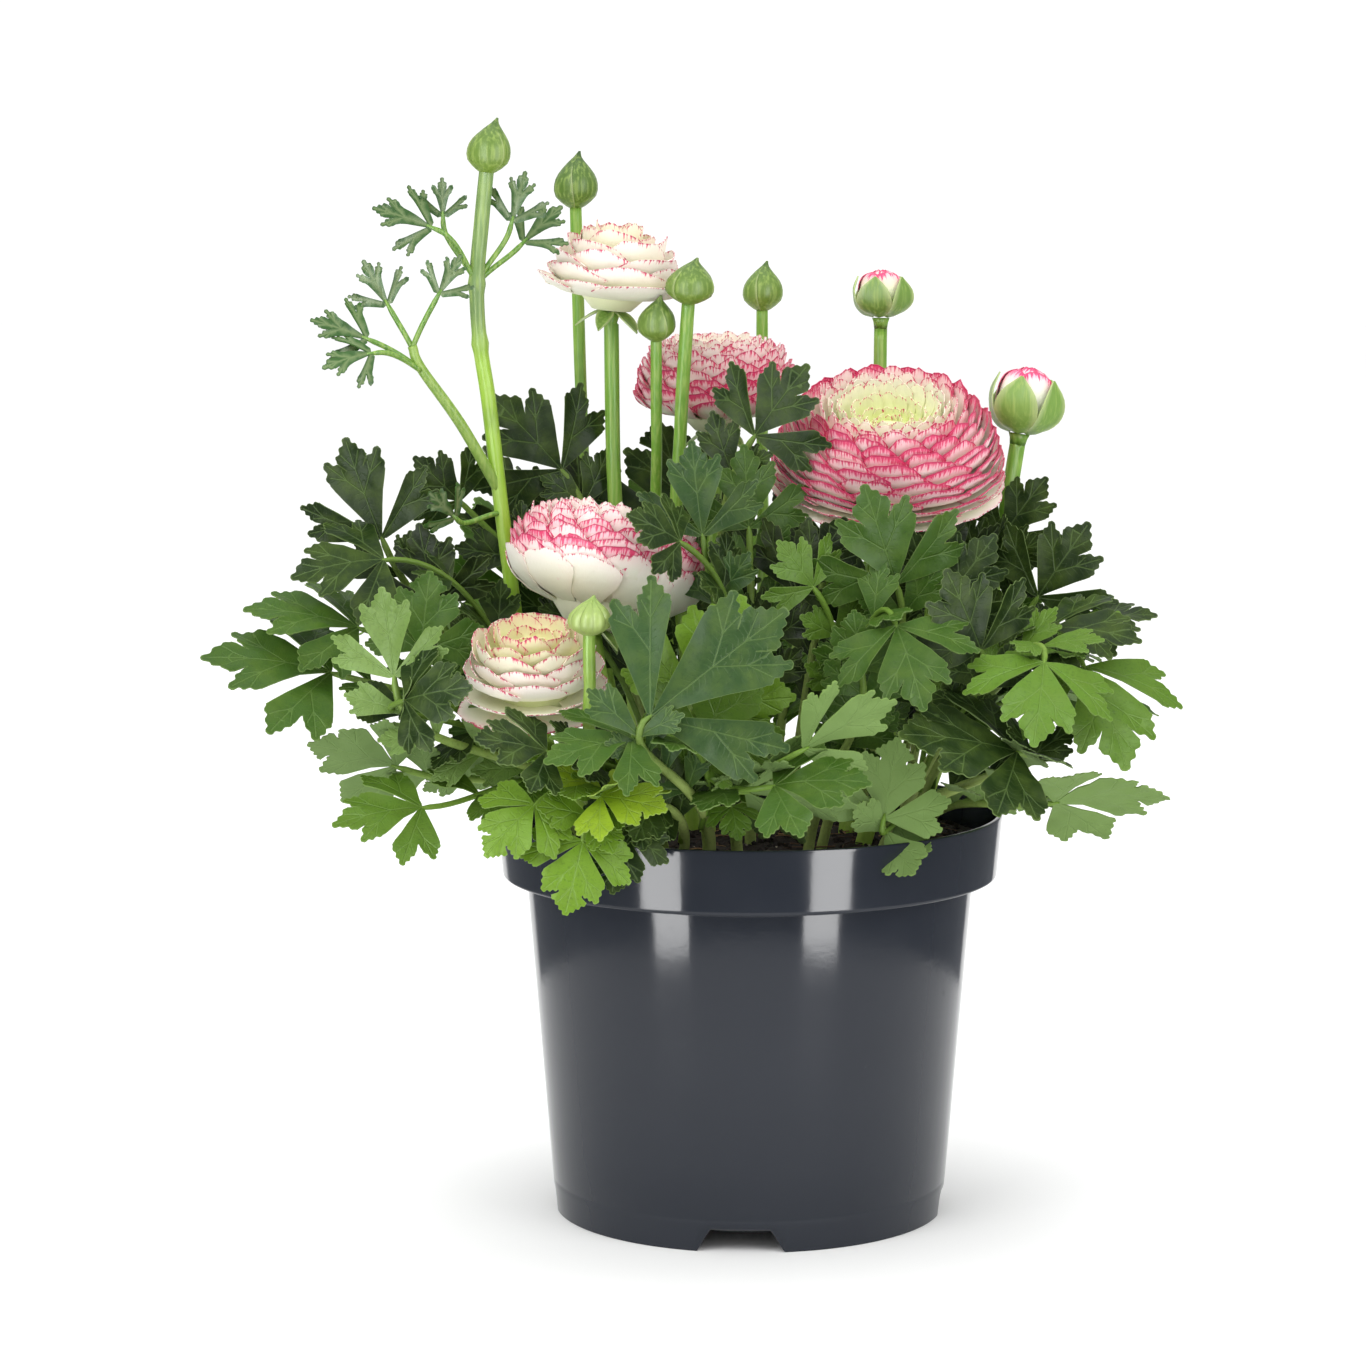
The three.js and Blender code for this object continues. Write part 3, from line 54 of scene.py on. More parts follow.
# Studio, in metres and watts: white all round, with a dark card and two softboxes for gloss alone
FLOOR_SIZE = 14.0
WORLD_LIGHT = 1.08
CARD_RADIUS = 0.4
CARD_HEIGHT = 0.5
CARD_TURN = 143
CARD_COLUMNS = 61
LAMP_TARGET = (0, 0, 0.2)
LAMPS = (("key", (-1.3, -1.5, 2.0), 1.4, 22), ("fill", (1.5, -1.3, 1.5), 1.2, 10),
         ("top", (0, 0.3, 2.2), 1.6, 14))
SOFTBOX_REACH = 0.385
SOFTBOX_SIZE = (0.115, 0.6)
SOFTBOXES = (("left_box", -37.7, 3.3), ("right_box", 32.7, 3.3))

# Colours as they look in even light. The first eight are the tones of the sprays
COLOURS = {
    "deep": (20, 34, 8),
    "dark": (28, 47, 11),
    "mid": (56, 87, 24),
    "fresh": (85, 119, 35),
    "bright": (101, 137, 31),
    "lime": (138, 168, 36),
    "blue": (47, 75, 34),
    "pale": (108, 137, 68),
    "leaf mottle": (96, 120, 40),
    "leaf shade": (22, 40, 22),
    "leaf under": (134, 160, 100),
    "leaf vein": (128, 158, 88),
    "leaf margin": (150, 176, 100),
    "leaf stalk": (126, 160, 66),
    "leaf stalk foot": (168, 184, 110),
    "feather": (40, 82, 18),
    "feather under": (104, 138, 62),
    "feather stalk": (92, 138, 46),
    "pot low": (33, 37, 45),
    "pot high": (39, 43, 51),
    "pot scuff": (84, 88, 92),
    "peat low": (17, 13, 11),
    "peat high": (48, 37, 29),
    "peat grain": (78, 62, 48),
    "speck": (176, 168, 150),
    "brown fibre": (96, 72, 50),
    "straw fibre": (140, 112, 80),
    "dark fibre": (58, 42, 32),
    "stem line": (176, 200, 104),
    "stem blotch": (72, 104, 44),
    "stem pale": (206, 216, 160),
    "stem low": (156, 190, 76),
    "stem high": (112, 160, 54),
    "tall stem low": (152, 194, 58),
    "tall stem high": (118, 148, 88),
    "side shoot": (126, 162, 66),
    "sepal": (116, 152, 66),
    "bud": (126, 156, 58),
    "bud tip": (58, 88, 38),
    "second bud": (104, 136, 48),
    "second bud tip": (44, 72, 30),
    "seed head": (172, 190, 112),
    "seed head tip": (122, 150, 70),
    "petal": (254, 250, 242),
    "petal green": (212, 228, 104),
    "petal streak": (234, 226, 200),
    "petal glow": (250, 146, 178),
    "petal pink": (222, 38, 102),
    "petal line": (186, 22, 82),
    "floor low": (250, 250, 250),
    "floor high": (246, 246, 246),
    "card low": (112, 114, 118),
    "card high": (122, 124, 128),
}

# Pot: a 19 cm container with a stepped rim band and four notches in its foot
RIM_RADIUS = 95.0
POT_HEIGHT = 152.0
BAND_FOOT = 128.0
BAND_FOOT_RADIUS = 92.8
BODY_TOP_RADIUS = 84.0
FOOT_RADIUS = 73.3
WALL = 1.9
FLOOR_RISE = 8.4
PAD_RADIUS = 18.0
PAD_SLOPE = 4.0
CENTRE_RADIUS = 0.01
NOTCH_BEARINGS = (-93.3, -3.3, 86.7, 176.7)
NOTCH_FOOT_WIDTH = 32.0
NOTCH_TOP_WIDTH = 22.5
NOTCH_HEIGHT = 8.2
NOTCH_ROUND = 1.6
SEAM_HEIGHT = 12.0
SEAM_HALF_WIDTH = 0.5
SEAM_DEPTH = 0.12
BODY_LEVELS = (30, 55, 80, 104, 120, 124, 126)
BAND_LEVELS = (129.6, 131.2, 133, 140, 147, 149, 150.4)
SKIRT_LEVEL = 9.5
INNER_ROUND, RIM_ROUND, BAND_ROUND, BODY_TOP_ROUND = 0.8, 0.9, 1.0, 1.2
FOOT_INNER_ROUND, FOOT_OUTER_ROUND = 0.3, 0.4
ROUND_STEPS = 4
DRAIN_BEARINGS = (45, 135, 225, 315)
DRAIN_RADIUS = 5.0
DRAIN_RING = 44.0
DRAIN_SIDES = 32
DRAIN_MARGIN = 3.0
POT_COLUMNS = 180

# Soil
CLEARANCE = 0.3
SOIL_TOP = 142.0
SOIL_LEVEL_RADIUS = 76.0
SOIL_FALL = 2.0
SOIL_FALL_WIDTH = 14.0
SOIL_SINK = 0.6
SOIL_EDGE = 0.9
SOIL_ROUGHNESS = 0.55
SOIL_RINGS, SOIL_SIDES = 62, 150
HOLE_DEPTH = 8.0
CRUMBS = 1000
CRUMB_SIZE, SPECK_SIZE = (0.5, 1.7), (0.3, 0.7)
CRUMB_SIDES = 5
FIBRES = 150
FIBRE_LENGTH = (4, 12)
FIBRE_RADIUS = (0.12, 0.3)
SPECKS = 90
SOIL_SEED = 5

# Roots of the stems and sprays in the soil
ROOT_SPACING = 10.5
ROW_SPACING = 0.866
ROOT_REACH = 70.0
STEM_FOOT_SHARE = 0.74
LOW_HUB, HIGH_HUB = 150.0, 290.0
LOW_FOOT_SHARE, HIGH_FOOT_SHARE = 0.6, 0.5

# Leaves: the solids' plan, with finer teeth
BLADE = 0.8
FINE_BLADE = 0.45
STALK_STEPS, FINE_STALK_STEPS = 3, 18
STALK_SIDES = 10
STALK_GAP = 3.0
STALK_SPREAD = 0.08
STALK_RISE = 0.42
STALK_FALL = 0.3
STALK_FOOT_RADIUS = 2.1
STALK_END_RADIUS = 1.15
STALK_TIP_RADII = (0.35, 0.8)
SOLID_STALK_RADIUS = 1.525
BRANCH_RADIUS = 1.1
BRANCH_AT = 0.46
NECK_RADIUS, LEAFLET_NECK_RADIUS = 1.9, 0.8
NECK_TURN = 100
NECK_SHARE, NECK_BULGE = 0.45, 0.06
EDGE_LIFT = 0.05
CORNER_CUT = 0.25
LEAF_WAVE = 0.7
# Teeth of an edge that rises to a lobe's tip and of one that falls from it: places along the tooth,
# and how far each place stands out
TOOTH_PITCH = 3.6
TOOTH_DEPTH = 0.95
RISING_TOOTH, FALLING_TOOTH = (0.12, 0.6, 0.98), (0.02, 0.4, 0.88)
TOOTH_FORM = (-0.25, 1, -0.25)
# Lobes, as shares of their reach: tip, points beside it, and half width where another lobe joins
LOBE_SWELL = 1.12
LOBE_TIP = 1.03
TIP_SIDE = (0.99, 0.2)
JOINED_SIDE = 0.62
FLANK_DROP, FLANK_SIDE = 0.2, 0.78
DEEP_SINUS = 0.25
RIB_REACH, FORK_AT, FORK_RISE, FORK_SIDE = 0.95, 0.45, 0.1, 0.62
# Points inside a leaflet: spacing of the field and of the ribs' points, inset of the row along its edge,
# and least distances of that row, of the points between parting ribs and of the field from the edge,
# in insets, and from the ribs
POINT_SPACING = 2.9
POINT_SCATTER = 0.2
RIB_SPACING = 1.8
INSET = 0.8
EDGE_GAPS = (0.75, 1, 1.5)
RIB_GAPS = (0.5, 0.25, 0.5)
RIB_END_GAP = 0.35
PARTING_REACHES = (1.3, 2.4, 3.7, 5.2)
TINY = 1e-9
LEAF_SEED = 23
# Small leaflets in pairs along a stalk: places from the hub down, size, bend and lowest level for one
MAIN_LEAFLETS = (0.22, 0.36, 0.5, 0.66)
BRANCH_LEAFLETS = (0.35, 0.65)
LEAFLET_SIZE = (15, 24)
LEAFLET_BEND = 0.4
LEAFLET_LEVEL = 14.0

LEAF_FORMS = {
    "cut": dict(hub=0.36, turn=40, side=0.84, width=0.27, sinus=0.45, shoulder=0.66, fan=60, reach=0.88),
    "round": dict(hub=0.32, turn=40, side=0.84, width=0.33, sinus=0.66, shoulder=0.7, fan=64, reach=0.84),
    "wedge": dict(hub=0.46, turn=36, side=0.85, width=0.26, sinus=0.46, shoulder=0.64, fan=52, reach=0.82),
    "feather": dict(hub=0.46, turn=36, side=0.8, width=0.2, sinus=0.3, shoulder=0.62, fan=50, reach=0.8),
}
# Lobes of the right, the middle and the left leaflet
FULL_LOBES = ((-1, 0), (-1, 0, 1), (0, 1))


# Sprays: leaf form, hub, tip of the middle leaflet, way the upper side faces, bend, tone
SPRAYS = [
    ("spray_left_upper", [
        ("wedge", (-136, -20, 256), (-149, -22, 293), (-0.3, -1, 0.3), 0.3, "dark"),
        ("cut", (-134, -38, 250), (-167, -46, 244), (-0.2, -0.7, 0.7), 0.5, "dark"),
        ("cut", (-116, -22, 232), (-122, -26, 262), (-0.2, -1, 0.3), 0.4, "deep")]),
    ("spray_far_left", [
        ("cut", (-152, -58, 211), (-198, -64, 217), (-0.1, -0.5, 0.85), 0.4, "mid"),
        ("cut", (-143, -46, 226), (-184, -50, 233), (0, -0.4, 0.9), 0.4, "mid")]),
    ("spray_left_pale", [
        ("wedge", (-124, -90, 213), (-128, -92, 245), (-0.2, -1, 0.25), -0.3, "pale"),
        ("round", (-117, -70, 220), (-114, -66, 248), (0.1, -1, 0.3), 0.2, "mid"),
        ("round", (-119, -100, 206), (-94, -110, 212), (0, -0.9, 0.5), 0.5, "dark")]),
    ("spray_low_left", [
        ("round", (-128, -66, 178), (-159, -74, 187), (-0.1, 0.7, 0.7), 0.3, "mid"),
        ("cut", (-118, -84, 166), (-149, -94, 161), (-0.2, -0.6, 0.8), 0.4, "fresh")]),
    ("spray_rim_bright", [
        ("round", (-68, -108, 159), (-75, -114, 134), (0, -1, 0.3), 0.5, "bright"),
        ("round", (-84, -102, 171), (-102, -108, 154), (-0.2, -0.8, 0.7), 0.6, "bright"),
        ("round", (-80, -104, 190), (-106, -112, 196), (0, -0.6, 0.8), 0.3, "dark")]),
    ("spray_rim_lime", [
        ("round", (-46, -101, 161), (-50, -107, 139), (0, -1, 0.2), 0.3, "dark"),
        ("round", (-54, -110, 174), (-31, -122, 171), (0, -0.6, 0.8), 0.3, "lime")]),
    ("spray_front_blue", [
        ("wedge", (-40, -113, 203), (8, -107, 239), (0, -1, 0.35), 0.25, "blue"),
        ("cut", (-46, -108, 195), (-77, -120, 188), (0, -0.5, 0.85), 0.3, "mid")]),
    ("spray_centre_lime", [
        ("round", (-20, -84, 203), (-4, -80, 241), (0.1, -1, 0.3), 0.3, "bright"),
        ("round", (-17, -92, 191), (-6, -97, 222), (0, -1, 0.3), 0.3, "fresh")]),
    ("spray_front_wide", [
        ("cut", (-6, -86, 172), (33, -98, 168), (0, 0.6, 0.8), 0.3, "mid"),
        ("round", (-10, -76, 165), (-8, -84, 154), (0, -0.9, 0.3), 0.6, "fresh"),
        ("wedge", (13, -106, 190), (46, -103, 206), (0.1, 0.75, 0.65), 0.2, "fresh"),
        ("round", (2, -112, 178), (35, -122, 180), (0, -0.5, 0.85), 0.4, "mid")]),
    ("spray_right_centre", [
        ("round", (39, -66, 213), (36, -70, 235), (-0.2, -1, 0.2), 0.3, "mid"),
        ("cut", (51, -74, 230), (60, -93, 202), (0, -0.9, 0.5), 0.5, "mid")]),
    ("spray_forks", [
        ("cut", (47, -48, 245), (33, -54, 281), (0, -1, 0.2), 0.4, "mid"),
        ("cut", (17, -52, 243), (3, -58, 260), (0, -0.9, 0.4), 0.4, "fresh"),
        ("cut", (64, -40, 236), (82, -44, 264), (0, -1, 0.3), 0.4, "dark")]),
    ("spray_right_drooping", [
        ("cut", (101, -78, 217), (94, -101, 190), (0, -0.9, 0.45), 0.6, "fresh"),
        ("cut", (80, -66, 220), (66, -74, 250), (0, -1, 0.3), 0.4, "dark")]),
    ("spray_far_right_drooping", [
        ("cut", (120, -56, 213), (133, -80, 179), (0.2, -0.8, 0.5), 0.7, "fresh"),
        ("cut", (108, -46, 226), (140, -58, 222), (0.1, -0.6, 0.8), 0.5, "dark")]),
    ("spray_far_right_dark", [
        ("cut", (118, -8, 222), (151, -9, 226), (0.1, -0.3, 0.9), 0.4, "dark"),
        ("cut", (106, -18, 234), (124, -24, 262), (0, -1, 0.4), 0.4, "dark")]),
    ("spray_right_wide", [
        ("round", (92, -76, 189), (49, -92, 196), (0, -0.5, 0.85), 0.3, "dark"),
        ("round", (46, -72, 161), (50, -62, 189), (0, 0.9, 0.3), 0.2, "fresh")]),
    ("spray_low_right_pale", [
        ("round", (110, -48, 162), (151, -56, 165), (0.1, 0.5, 0.85), 0.3, "fresh")]),
    ("spray_right_top", [
        ("cut", (103, 18, 250), (121, 20, 271), (0, -0.8, 0.6), 0.4, "dark"),
        ("cut", (98, 0, 240), (118, -8, 252), (0.1, -0.8, 0.6), 0.4, "dark"),
        ("cut", (82, 2, 236), (74, -4, 266), (0, -1, 0.3), 0.4, "deep")]),
    ("spray_centre_top", [
        ("cut", (-1, -26, 262), (-3, -22, 292), (0.1, -1, 0.2), 0.35, "mid"),
        ("wedge", (-18, -42, 262), (-22, -40, 296), (-0.1, -1, 0.2), 0.35, "blue"),
        ("round", (-26, -56, 262), (-45, -64, 273), (0, -0.7, 0.7), 0.35, "dark"),
        ("cut", (16, -31, 239), (34, -35, 267), (0, -1, 0.3), 0.45, "deep")]),
    ("spray_by_bloom", [
        ("cut", (-1, -40, 294), (18, -46, 320), (0, -0.9, 0.4), 0.4, "dark")]),
    ("spray_left_inner", [
        ("cut", (-72, 16, 278), (-98, 12, 306), (-0.1, -0.9, 0.5), 0.5, "dark"),
        ("cut", (-108, -6, 268), (-124, -14, 285), (-0.3, -0.8, 0.5), 0.5, "dark"),
        ("cut", (-66, 26, 256), (-96, 28, 272), (0, -0.9, 0.5), 0.4, "deep")]),
]
# Sprays at the back: bearing in degrees, reach and height of the hub, and each leaf's habit
BACK_SPRAYS = [
    (12, 104, 196, ("drooping", "rising")), (38, 98, 206, ("drooping", "rising")),
    (66, 96, 190, ("drooping", "rising")), (93, 102, 208, ("drooping", "rising")),
    (120, 94, 192, ("drooping", "rising")), (138, 104, 204, ("drooping", "rising")),
    (168, 110, 222, ("drooping",)), (55, 56, 250, ("rising",)), (112, 62, 254, ("rising",)),
    (22, 76, 226, ("rising",)), (152, 92, 240, ("rising",))]
BACK_HABITS = {
    "drooping": dict(outward=1.0, climb=-0.15, face_outward=0.3, face_up=1.0),
    "rising": dict(outward=0.5, climb=0.85, face_outward=-0.8, face_up=0.5),
}
BACK_TONES = ("mid", "dark", "fresh", "mid", "dark", "mid", "fresh", "deep", "dark", "dark", "deep")
BACK_LEAF_LENGTH = (41, 52)
BACK_LEAF_BEND = (0.45, 0.8)
BACK_LEAF_SPREAD = 17
BACK_LEAF_STEP = 22
BACK_LEAF_INSET = 10
BACK_LEAF_SCATTER = 4
BACK_CUT_SHARE = 0.6
BACK_SEED = 11
# The changes a spray may take to stay clear of its neighbours, as in the solids
TURNS = (0, 4, -4, 8, -8, 13, -13, 19, -19, 26, -26, 34, -34, 43, -43, 53, -53)
LEANS = (0, 4, -4, 8)
BOWS = (0, 10, -10)

# Stems: name, radius, kind, bud's radius and height, petals, points on the axis
STEMS = [
    ("stem_bud_tall", 2.9, "bud", (8.2, 19), None,
     [(-84, -3, 200), (-88, -4, 229), (-93, -6, 270), (-97, -8, 306), (-100, -9, 327),
      (-101, -10, 349), (-99, -10, 372), (-97, -10, 391)]),
    ("stem_bud_second", 2.4, "bud", (8.6, 20), None, [(-60, 44, 230), (-64, 51, 300), (-66, 52, 377)]),
    ("stem_bloom_top", 2.9, "bloom", None, None, [(-46, 18, 210), (-51, 20, 271), (-52, 20, 338)]),
    ("stem_bud_middle", 2.6, "bud", (9.2, 16), None, [(-27, 8, 240), (-26, 4, 296), (-23, -3, 343)]),
    ("stem_bud_small", 2.2, "bud", (7.2, 16), None, [(-34, 20, 240), (-35, 10, 290), (-35, 2, 329)]),
    ("stem_bud_back", 2.4, "bud", (8, 18), None, [(6, 78, 220), (6, 92, 280), (6, 95, 336)]),
    ("stem_bud_cream", 2.6, "opening", (9.6, 18), "bud_petals_cream",
     [(46, 50, 220), (50, 58, 280), (51, 60, 334)]),
    ("stem_bloom_back", 2.8, "bloom", None, None, [(-14, 52, 220), (-13, 58, 260), (-12, 60, 290)]),
    ("stem_bloom_large", 3.1, "bloom", None, None, [(44, 14, 205), (49, 10, 240), (51, 2, 268)]),
    ("stem_bud_pink", 3.1, "opening", (11.8, 25), "bud_petals_pink",
     [(88, 22, 215), (96, 24, 256), (102, 25, 292)]),
    ("stem_bloom_front", 2.8, "bloom", None, None, [(-48, -30, 180), (-55, -33, 205), (-58, -32, 224)]),
    ("stem_bloom_low", 2.5, "bloom", None, None, [(-70, -62, 172), (-76, -68, 185), (-78, -70, 197)]),
    ("stem_seed_head", 2.3, "bud", (7.2, 13), None, [(-57, -86, 185), (-58, -96, 213), (-58, -98, 231)]),
    ("stem_bud_hidden", 2.0, "bud", (5.6, 13), None, [(58, -24, 200), (65, -26, 225), (66, -26, 250)]),
]
STEM_FOOT_RADIUS = 3.0
STEM_STEPS, TALL_STEM_STEPS = 4, 10
STEM_SIDES = 20
STEM_RIDGES = 7
STEM_RIDGE, STEM_TWIST = 0.05, 1.2
STEM_FULLNESS = 0.94
STEM_FADE = 160.0
# A stem widens below a bloom: depths of its last points below the base, and their fullness
CALYX_DEPTHS = (5, 2.4, 0.7)
CALYX_FULLNESS = (1.08, 1.3)
# The tall stem: where it turns greyish green, and how its nodes swell
TALL_FADE_LEVEL, TALL_FADE = 318.0, 22.0
TALL_RING_SWELL, TALL_RING_WIDTH = 0.22, 2.2
# Feathery leaves on the tall stem: foot, hub, tip, way it faces, bend
STEM_LEAVES = [
    ((-101, -10, 349), (-117, -20, 370), (-138, -24, 377), (0, -0.8, 0.5), 0.3),
    ((-101, -10, 349), (-113, -14, 374), (-113, -18, 388), (0, -1, 0.1), 0.3),
    ((-101, -10, 349), (-88, -6, 372), (-83, -5, 390), (0, -1, 0.1), 0.6),
    ((-101, -10, 349), (-84, 0, 364), (-70, 8, 377), (0, -0.8, 0.5), 0.2),
    ((-92, -6, 264), (-109, -22, 264), (-118, -32, 274), (0, -1, 0.3), 0.4),
    ((-121, -25, 318), (-140, -32, 330), (-160, -36, 337), (0, -0.8, 0.5), 0.3),
    ((-121, -25, 318), (-138, -38, 325), (-155, -46, 320), (0, -0.8, 0.5), 0.6),
    ((-122, -25, 322), (-133, -22, 342), (-142, -20, 358), (0, -1, 0.1), 0.3),
    ((-124, -25, 326), (-114, -26, 346), (-106, -24, 360), (0, -1, 0.1), 0.4),
]
SIDE_SHOOT = [(-93, -6, 272), (-107, -16, 298), (-121, -24, 319), (-124, -25, 327)]
SIDE_SHOOT_RADIUS = 2.3
TALL_RINGS = (327, 349)

# Blooms: axis, radius, height, openness and rings of the solid (edge's share of radius, of height);
# then petals in the outer and in the inner rings, rings in all, how far a petal overlaps the next,
# pink from the outer to the inner rings, green of the middle and the depth where it starts, and how
# loosely each petal stands
BLOOMS = [
    dict(name="bloom_top", stem="stem_bloom_top", axis=(0.1, -0.04, 1), radius=27, height=33, open=5,
         rings=((1.0, 0.34), (0.84, 0.64), (0.6, 0.88), (0.32, 0.98)), petals=(6, 6), steps=6,
         spread=1.6, blush=(0.16, 0.24, 0.28, 0.32), green=0.25, green_from=0.4, loose=1.0),
    dict(name="bloom_back", stem="stem_bloom_back", axis=(0, -0.05, 1), radius=31, height=38, open=3,
         rings=((1.0, 0.4), (0.94, 0.66), (0.8, 0.88), (0.52, 0.96)), petals=(15, 15), steps=12,
         spread=1.3, blush=(0.9, 1.0, 0.45, 0.28), green=0.1, green_from=0.75, loose=0.0),
    dict(name="bloom_large", stem="stem_bloom_large", axis=(0, -0.36, 0.93), radius=43, height=44, open=5,
         rings=((1.0, 0.2), (0.97, 0.5), (0.87, 0.76), (0.7, 0.95), (0.42, 0.92)), petals=(10, 19), steps=15,
         spread=1.3, blush=(0.35, 1.0, 1.0, 0.15), green=0.5, green_from=0.7, loose=0.0),
    dict(name="bloom_front", stem="stem_bloom_front", axis=(0.2, 0.2, 0.96), radius=37, height=46, open=2,
         rings=((1.0, 0.5), (0.95, 0.7), (0.8, 0.88), (0.5, 0.98)), petals=(11, 19), steps=13,
         spread=1.3, blush=(0.25, 1.0, 0.5, 0.2), green=0.05, green_from=0.75, loose=0.0),
    dict(name="bloom_low", stem="stem_bloom_low", axis=(-0.03, -0.25, 0.97), radius=25, height=37, open=6,
         rings=((1.04, 0.1), (0.96, 0.54), (0.8, 0.82), (0.5, 0.92)), petals=(6, 9), steps=7,
         spread=1.6, blush=(0.55, 0.22, 0.3, 0.4), green=0.5, green_from=0.4, loose=0.8),
]
BLUSH_DEPTHS = (0, 0.17, 0.72, 0.92)
GREEN_SPAN = 0.55
CORE_PROFILE = ((0, 0.04), (0.3, 0.04), (0.54, 0.2), (0.56, 0.44), (0.34, 0.66), (0, 0.72))
ROOT_LOW, ROOT_HIGH = 0.14, 0.64
ROOT_DEPTH = 3.0
PETAL_THICKNESS = 0.3
PETAL_COLUMNS = (-1, -0.93, -0.78, -0.52, -0.18, 0.18, 0.52, 0.78, 0.93, 1)
PETAL_ROWS = (0, 0.35, 0.65, 0.85, 0.95, 1)
PETAL_WIDTHS = ((0, 0.3, 0.62, 0.88, 1.1), (0.34, 0.74, 1.0, 0.96, 0.9))
# Small rings in a bloom's middle: depth, share of the innermost ring's radius, drop in height
MIDDLE_RINGS = ((1.12, 0.72, 0.05), (1.24, 0.46, 0.1), (1.36, 0.24, 0.13))
MIDDLE_DEPTH = 0.36
CORE_SIDES = 24
BLOOM_SEED = 41

# Buds and sepals, as shares of the bud's radius and height
BUD_PROFILE = ((0.2, -0.02), (0.42, 0.02), (0.9, 0.2), (0.97, 0.42), (0.8, 0.62), (0.42, 0.82),
               (0.16, 0.94), (0.02, 1.05))
BUD_SINK = 1.0
BUD_SMOOTHNESS = 0.12
BUD_SEED = 7
BUD_ROWS = 15
BUD_COLUMNS = (-1, -0.93, -0.75, -0.5, -0.25, 0, 0.25, 0.5, 0.75, 0.93, 1)
PROFILE_STEPS = 60
# Buds' colours, number of sepals, how far one overlaps the next, and how far its middle swells
BUD_LOOKS = {
    "stem_seed_head": ("seed head", "seed head tip", 9, 0.5, 0.13),
    "stem_bud_second": ("second bud", "second bud tip", 3, 0.7, 0.02),
}
USUAL_BUD_LOOK = ("bud", "bud tip", 3, 0.7, 0.02)
SEPAL_COUNT = 5
SEPAL_THICKNESS = 0.5
SEPAL_STEPS = 12
SEPAL_COLUMNS = (-1, -0.6, -0.25, 0, 0.25, 0.6, 1)
BLOOM_SEPAL = ((2.0, -0.8, 1.6), (4.6, -1.0, 2.7), (7.4, -2.6, 3.3), (10.6, -4.9, 2.2), (13.0, -7.0, 0.15))
CUP_SEPAL = ((0.3, -0.02, 0.25), (0.72, 0.04, 0.55), (1.03, 0.22, 0.72), (1.1, 0.5, 0.56),
             (0.94, 0.84, 0.04))
BUD_PETAL_PROFILE = ((0.3, 0), (0.8, 0.22), (0.9, 0.54), (0.66, 0.82), (0.12, 0.985))
# Layers of an opening bud's petals from the outside in: fullness, height and number of petals
BUD_PETAL_LAYERS = ((1.0, 0.9, 5), (0.93, 0.97, 5), (0.8, 1.0, 5), (0.62, 0.97, 4), (0.4, 0.93, 4))
BUD_PETAL_ROWS = 14
# Green and pink of the opening buds' petals
OPENING_BUDS = {"bud_petals_cream": (0.3, 0.9), "bud_petals_pink": (0.05, 1.0)}


def colour(name):
    """The named colour in linear shares."""
    shares = np.array(COLOURS[name]) / 255
    return np.where(shares <= 0.04045, shares / 12.92, ((shares + 0.055) / 1.055) ** 2.4)


def tone(name):
    return (*colour(name), 1.0)


def fade(first, second, share):
    """The first value, changed to the second by the share."""
    return first * (1 - share) + second * share


def seeded_random(seed):
    """The solids' generator, for places that both draw."""
    state = seed & 0xffffffff

    def draw():
        nonlocal state
        state = (state + 0x6d2b79f5) & 0xffffffff
        mixed = ((state ^ (state >> 15)) * (state | 1)) & 0xffffffff
        step = ((mixed ^ (mixed >> 7)) * (mixed | 61)) & 0xffffffff
        mixed = mixed ^ ((mixed + step) & 0xffffffff)
        return ((mixed ^ (mixed >> 14)) & 0xffffffff) / 4294967296
    return draw


def unit(vector):
    return vector / np.linalg.norm(vector)


def smooth(share):
    share = np.clip(share, 0, 1)
    return share * share * (3 - 2 * share)


def turns(count):
    """Bearings evenly spaced round a full turn."""
    return np.linspace(0, FULL_TURN, count, endpoint=False)


def around(radius, angle, height):
    """Points round the upright axis, from their distances, bearings and heights."""
    return np.stack(np.broadcast_arrays(radius * np.cos(angle), radius * np.sin(angle), height), axis=-1)


def new_object(name, data):
    """A new object in the scene."""
    item = bpy.data.objects.new(name, data)
    bpy.context.scene.collection.objects.link(item)
    return item


def mesh_object(name, points, faces, material=None):
    """A new object of points and faces, in metres."""
    mesh = bpy.data.meshes.new(name)
    mesh.from_pydata(points, [], faces)
    if material:
        mesh.materials.append(material)
    return new_object(name, mesh)


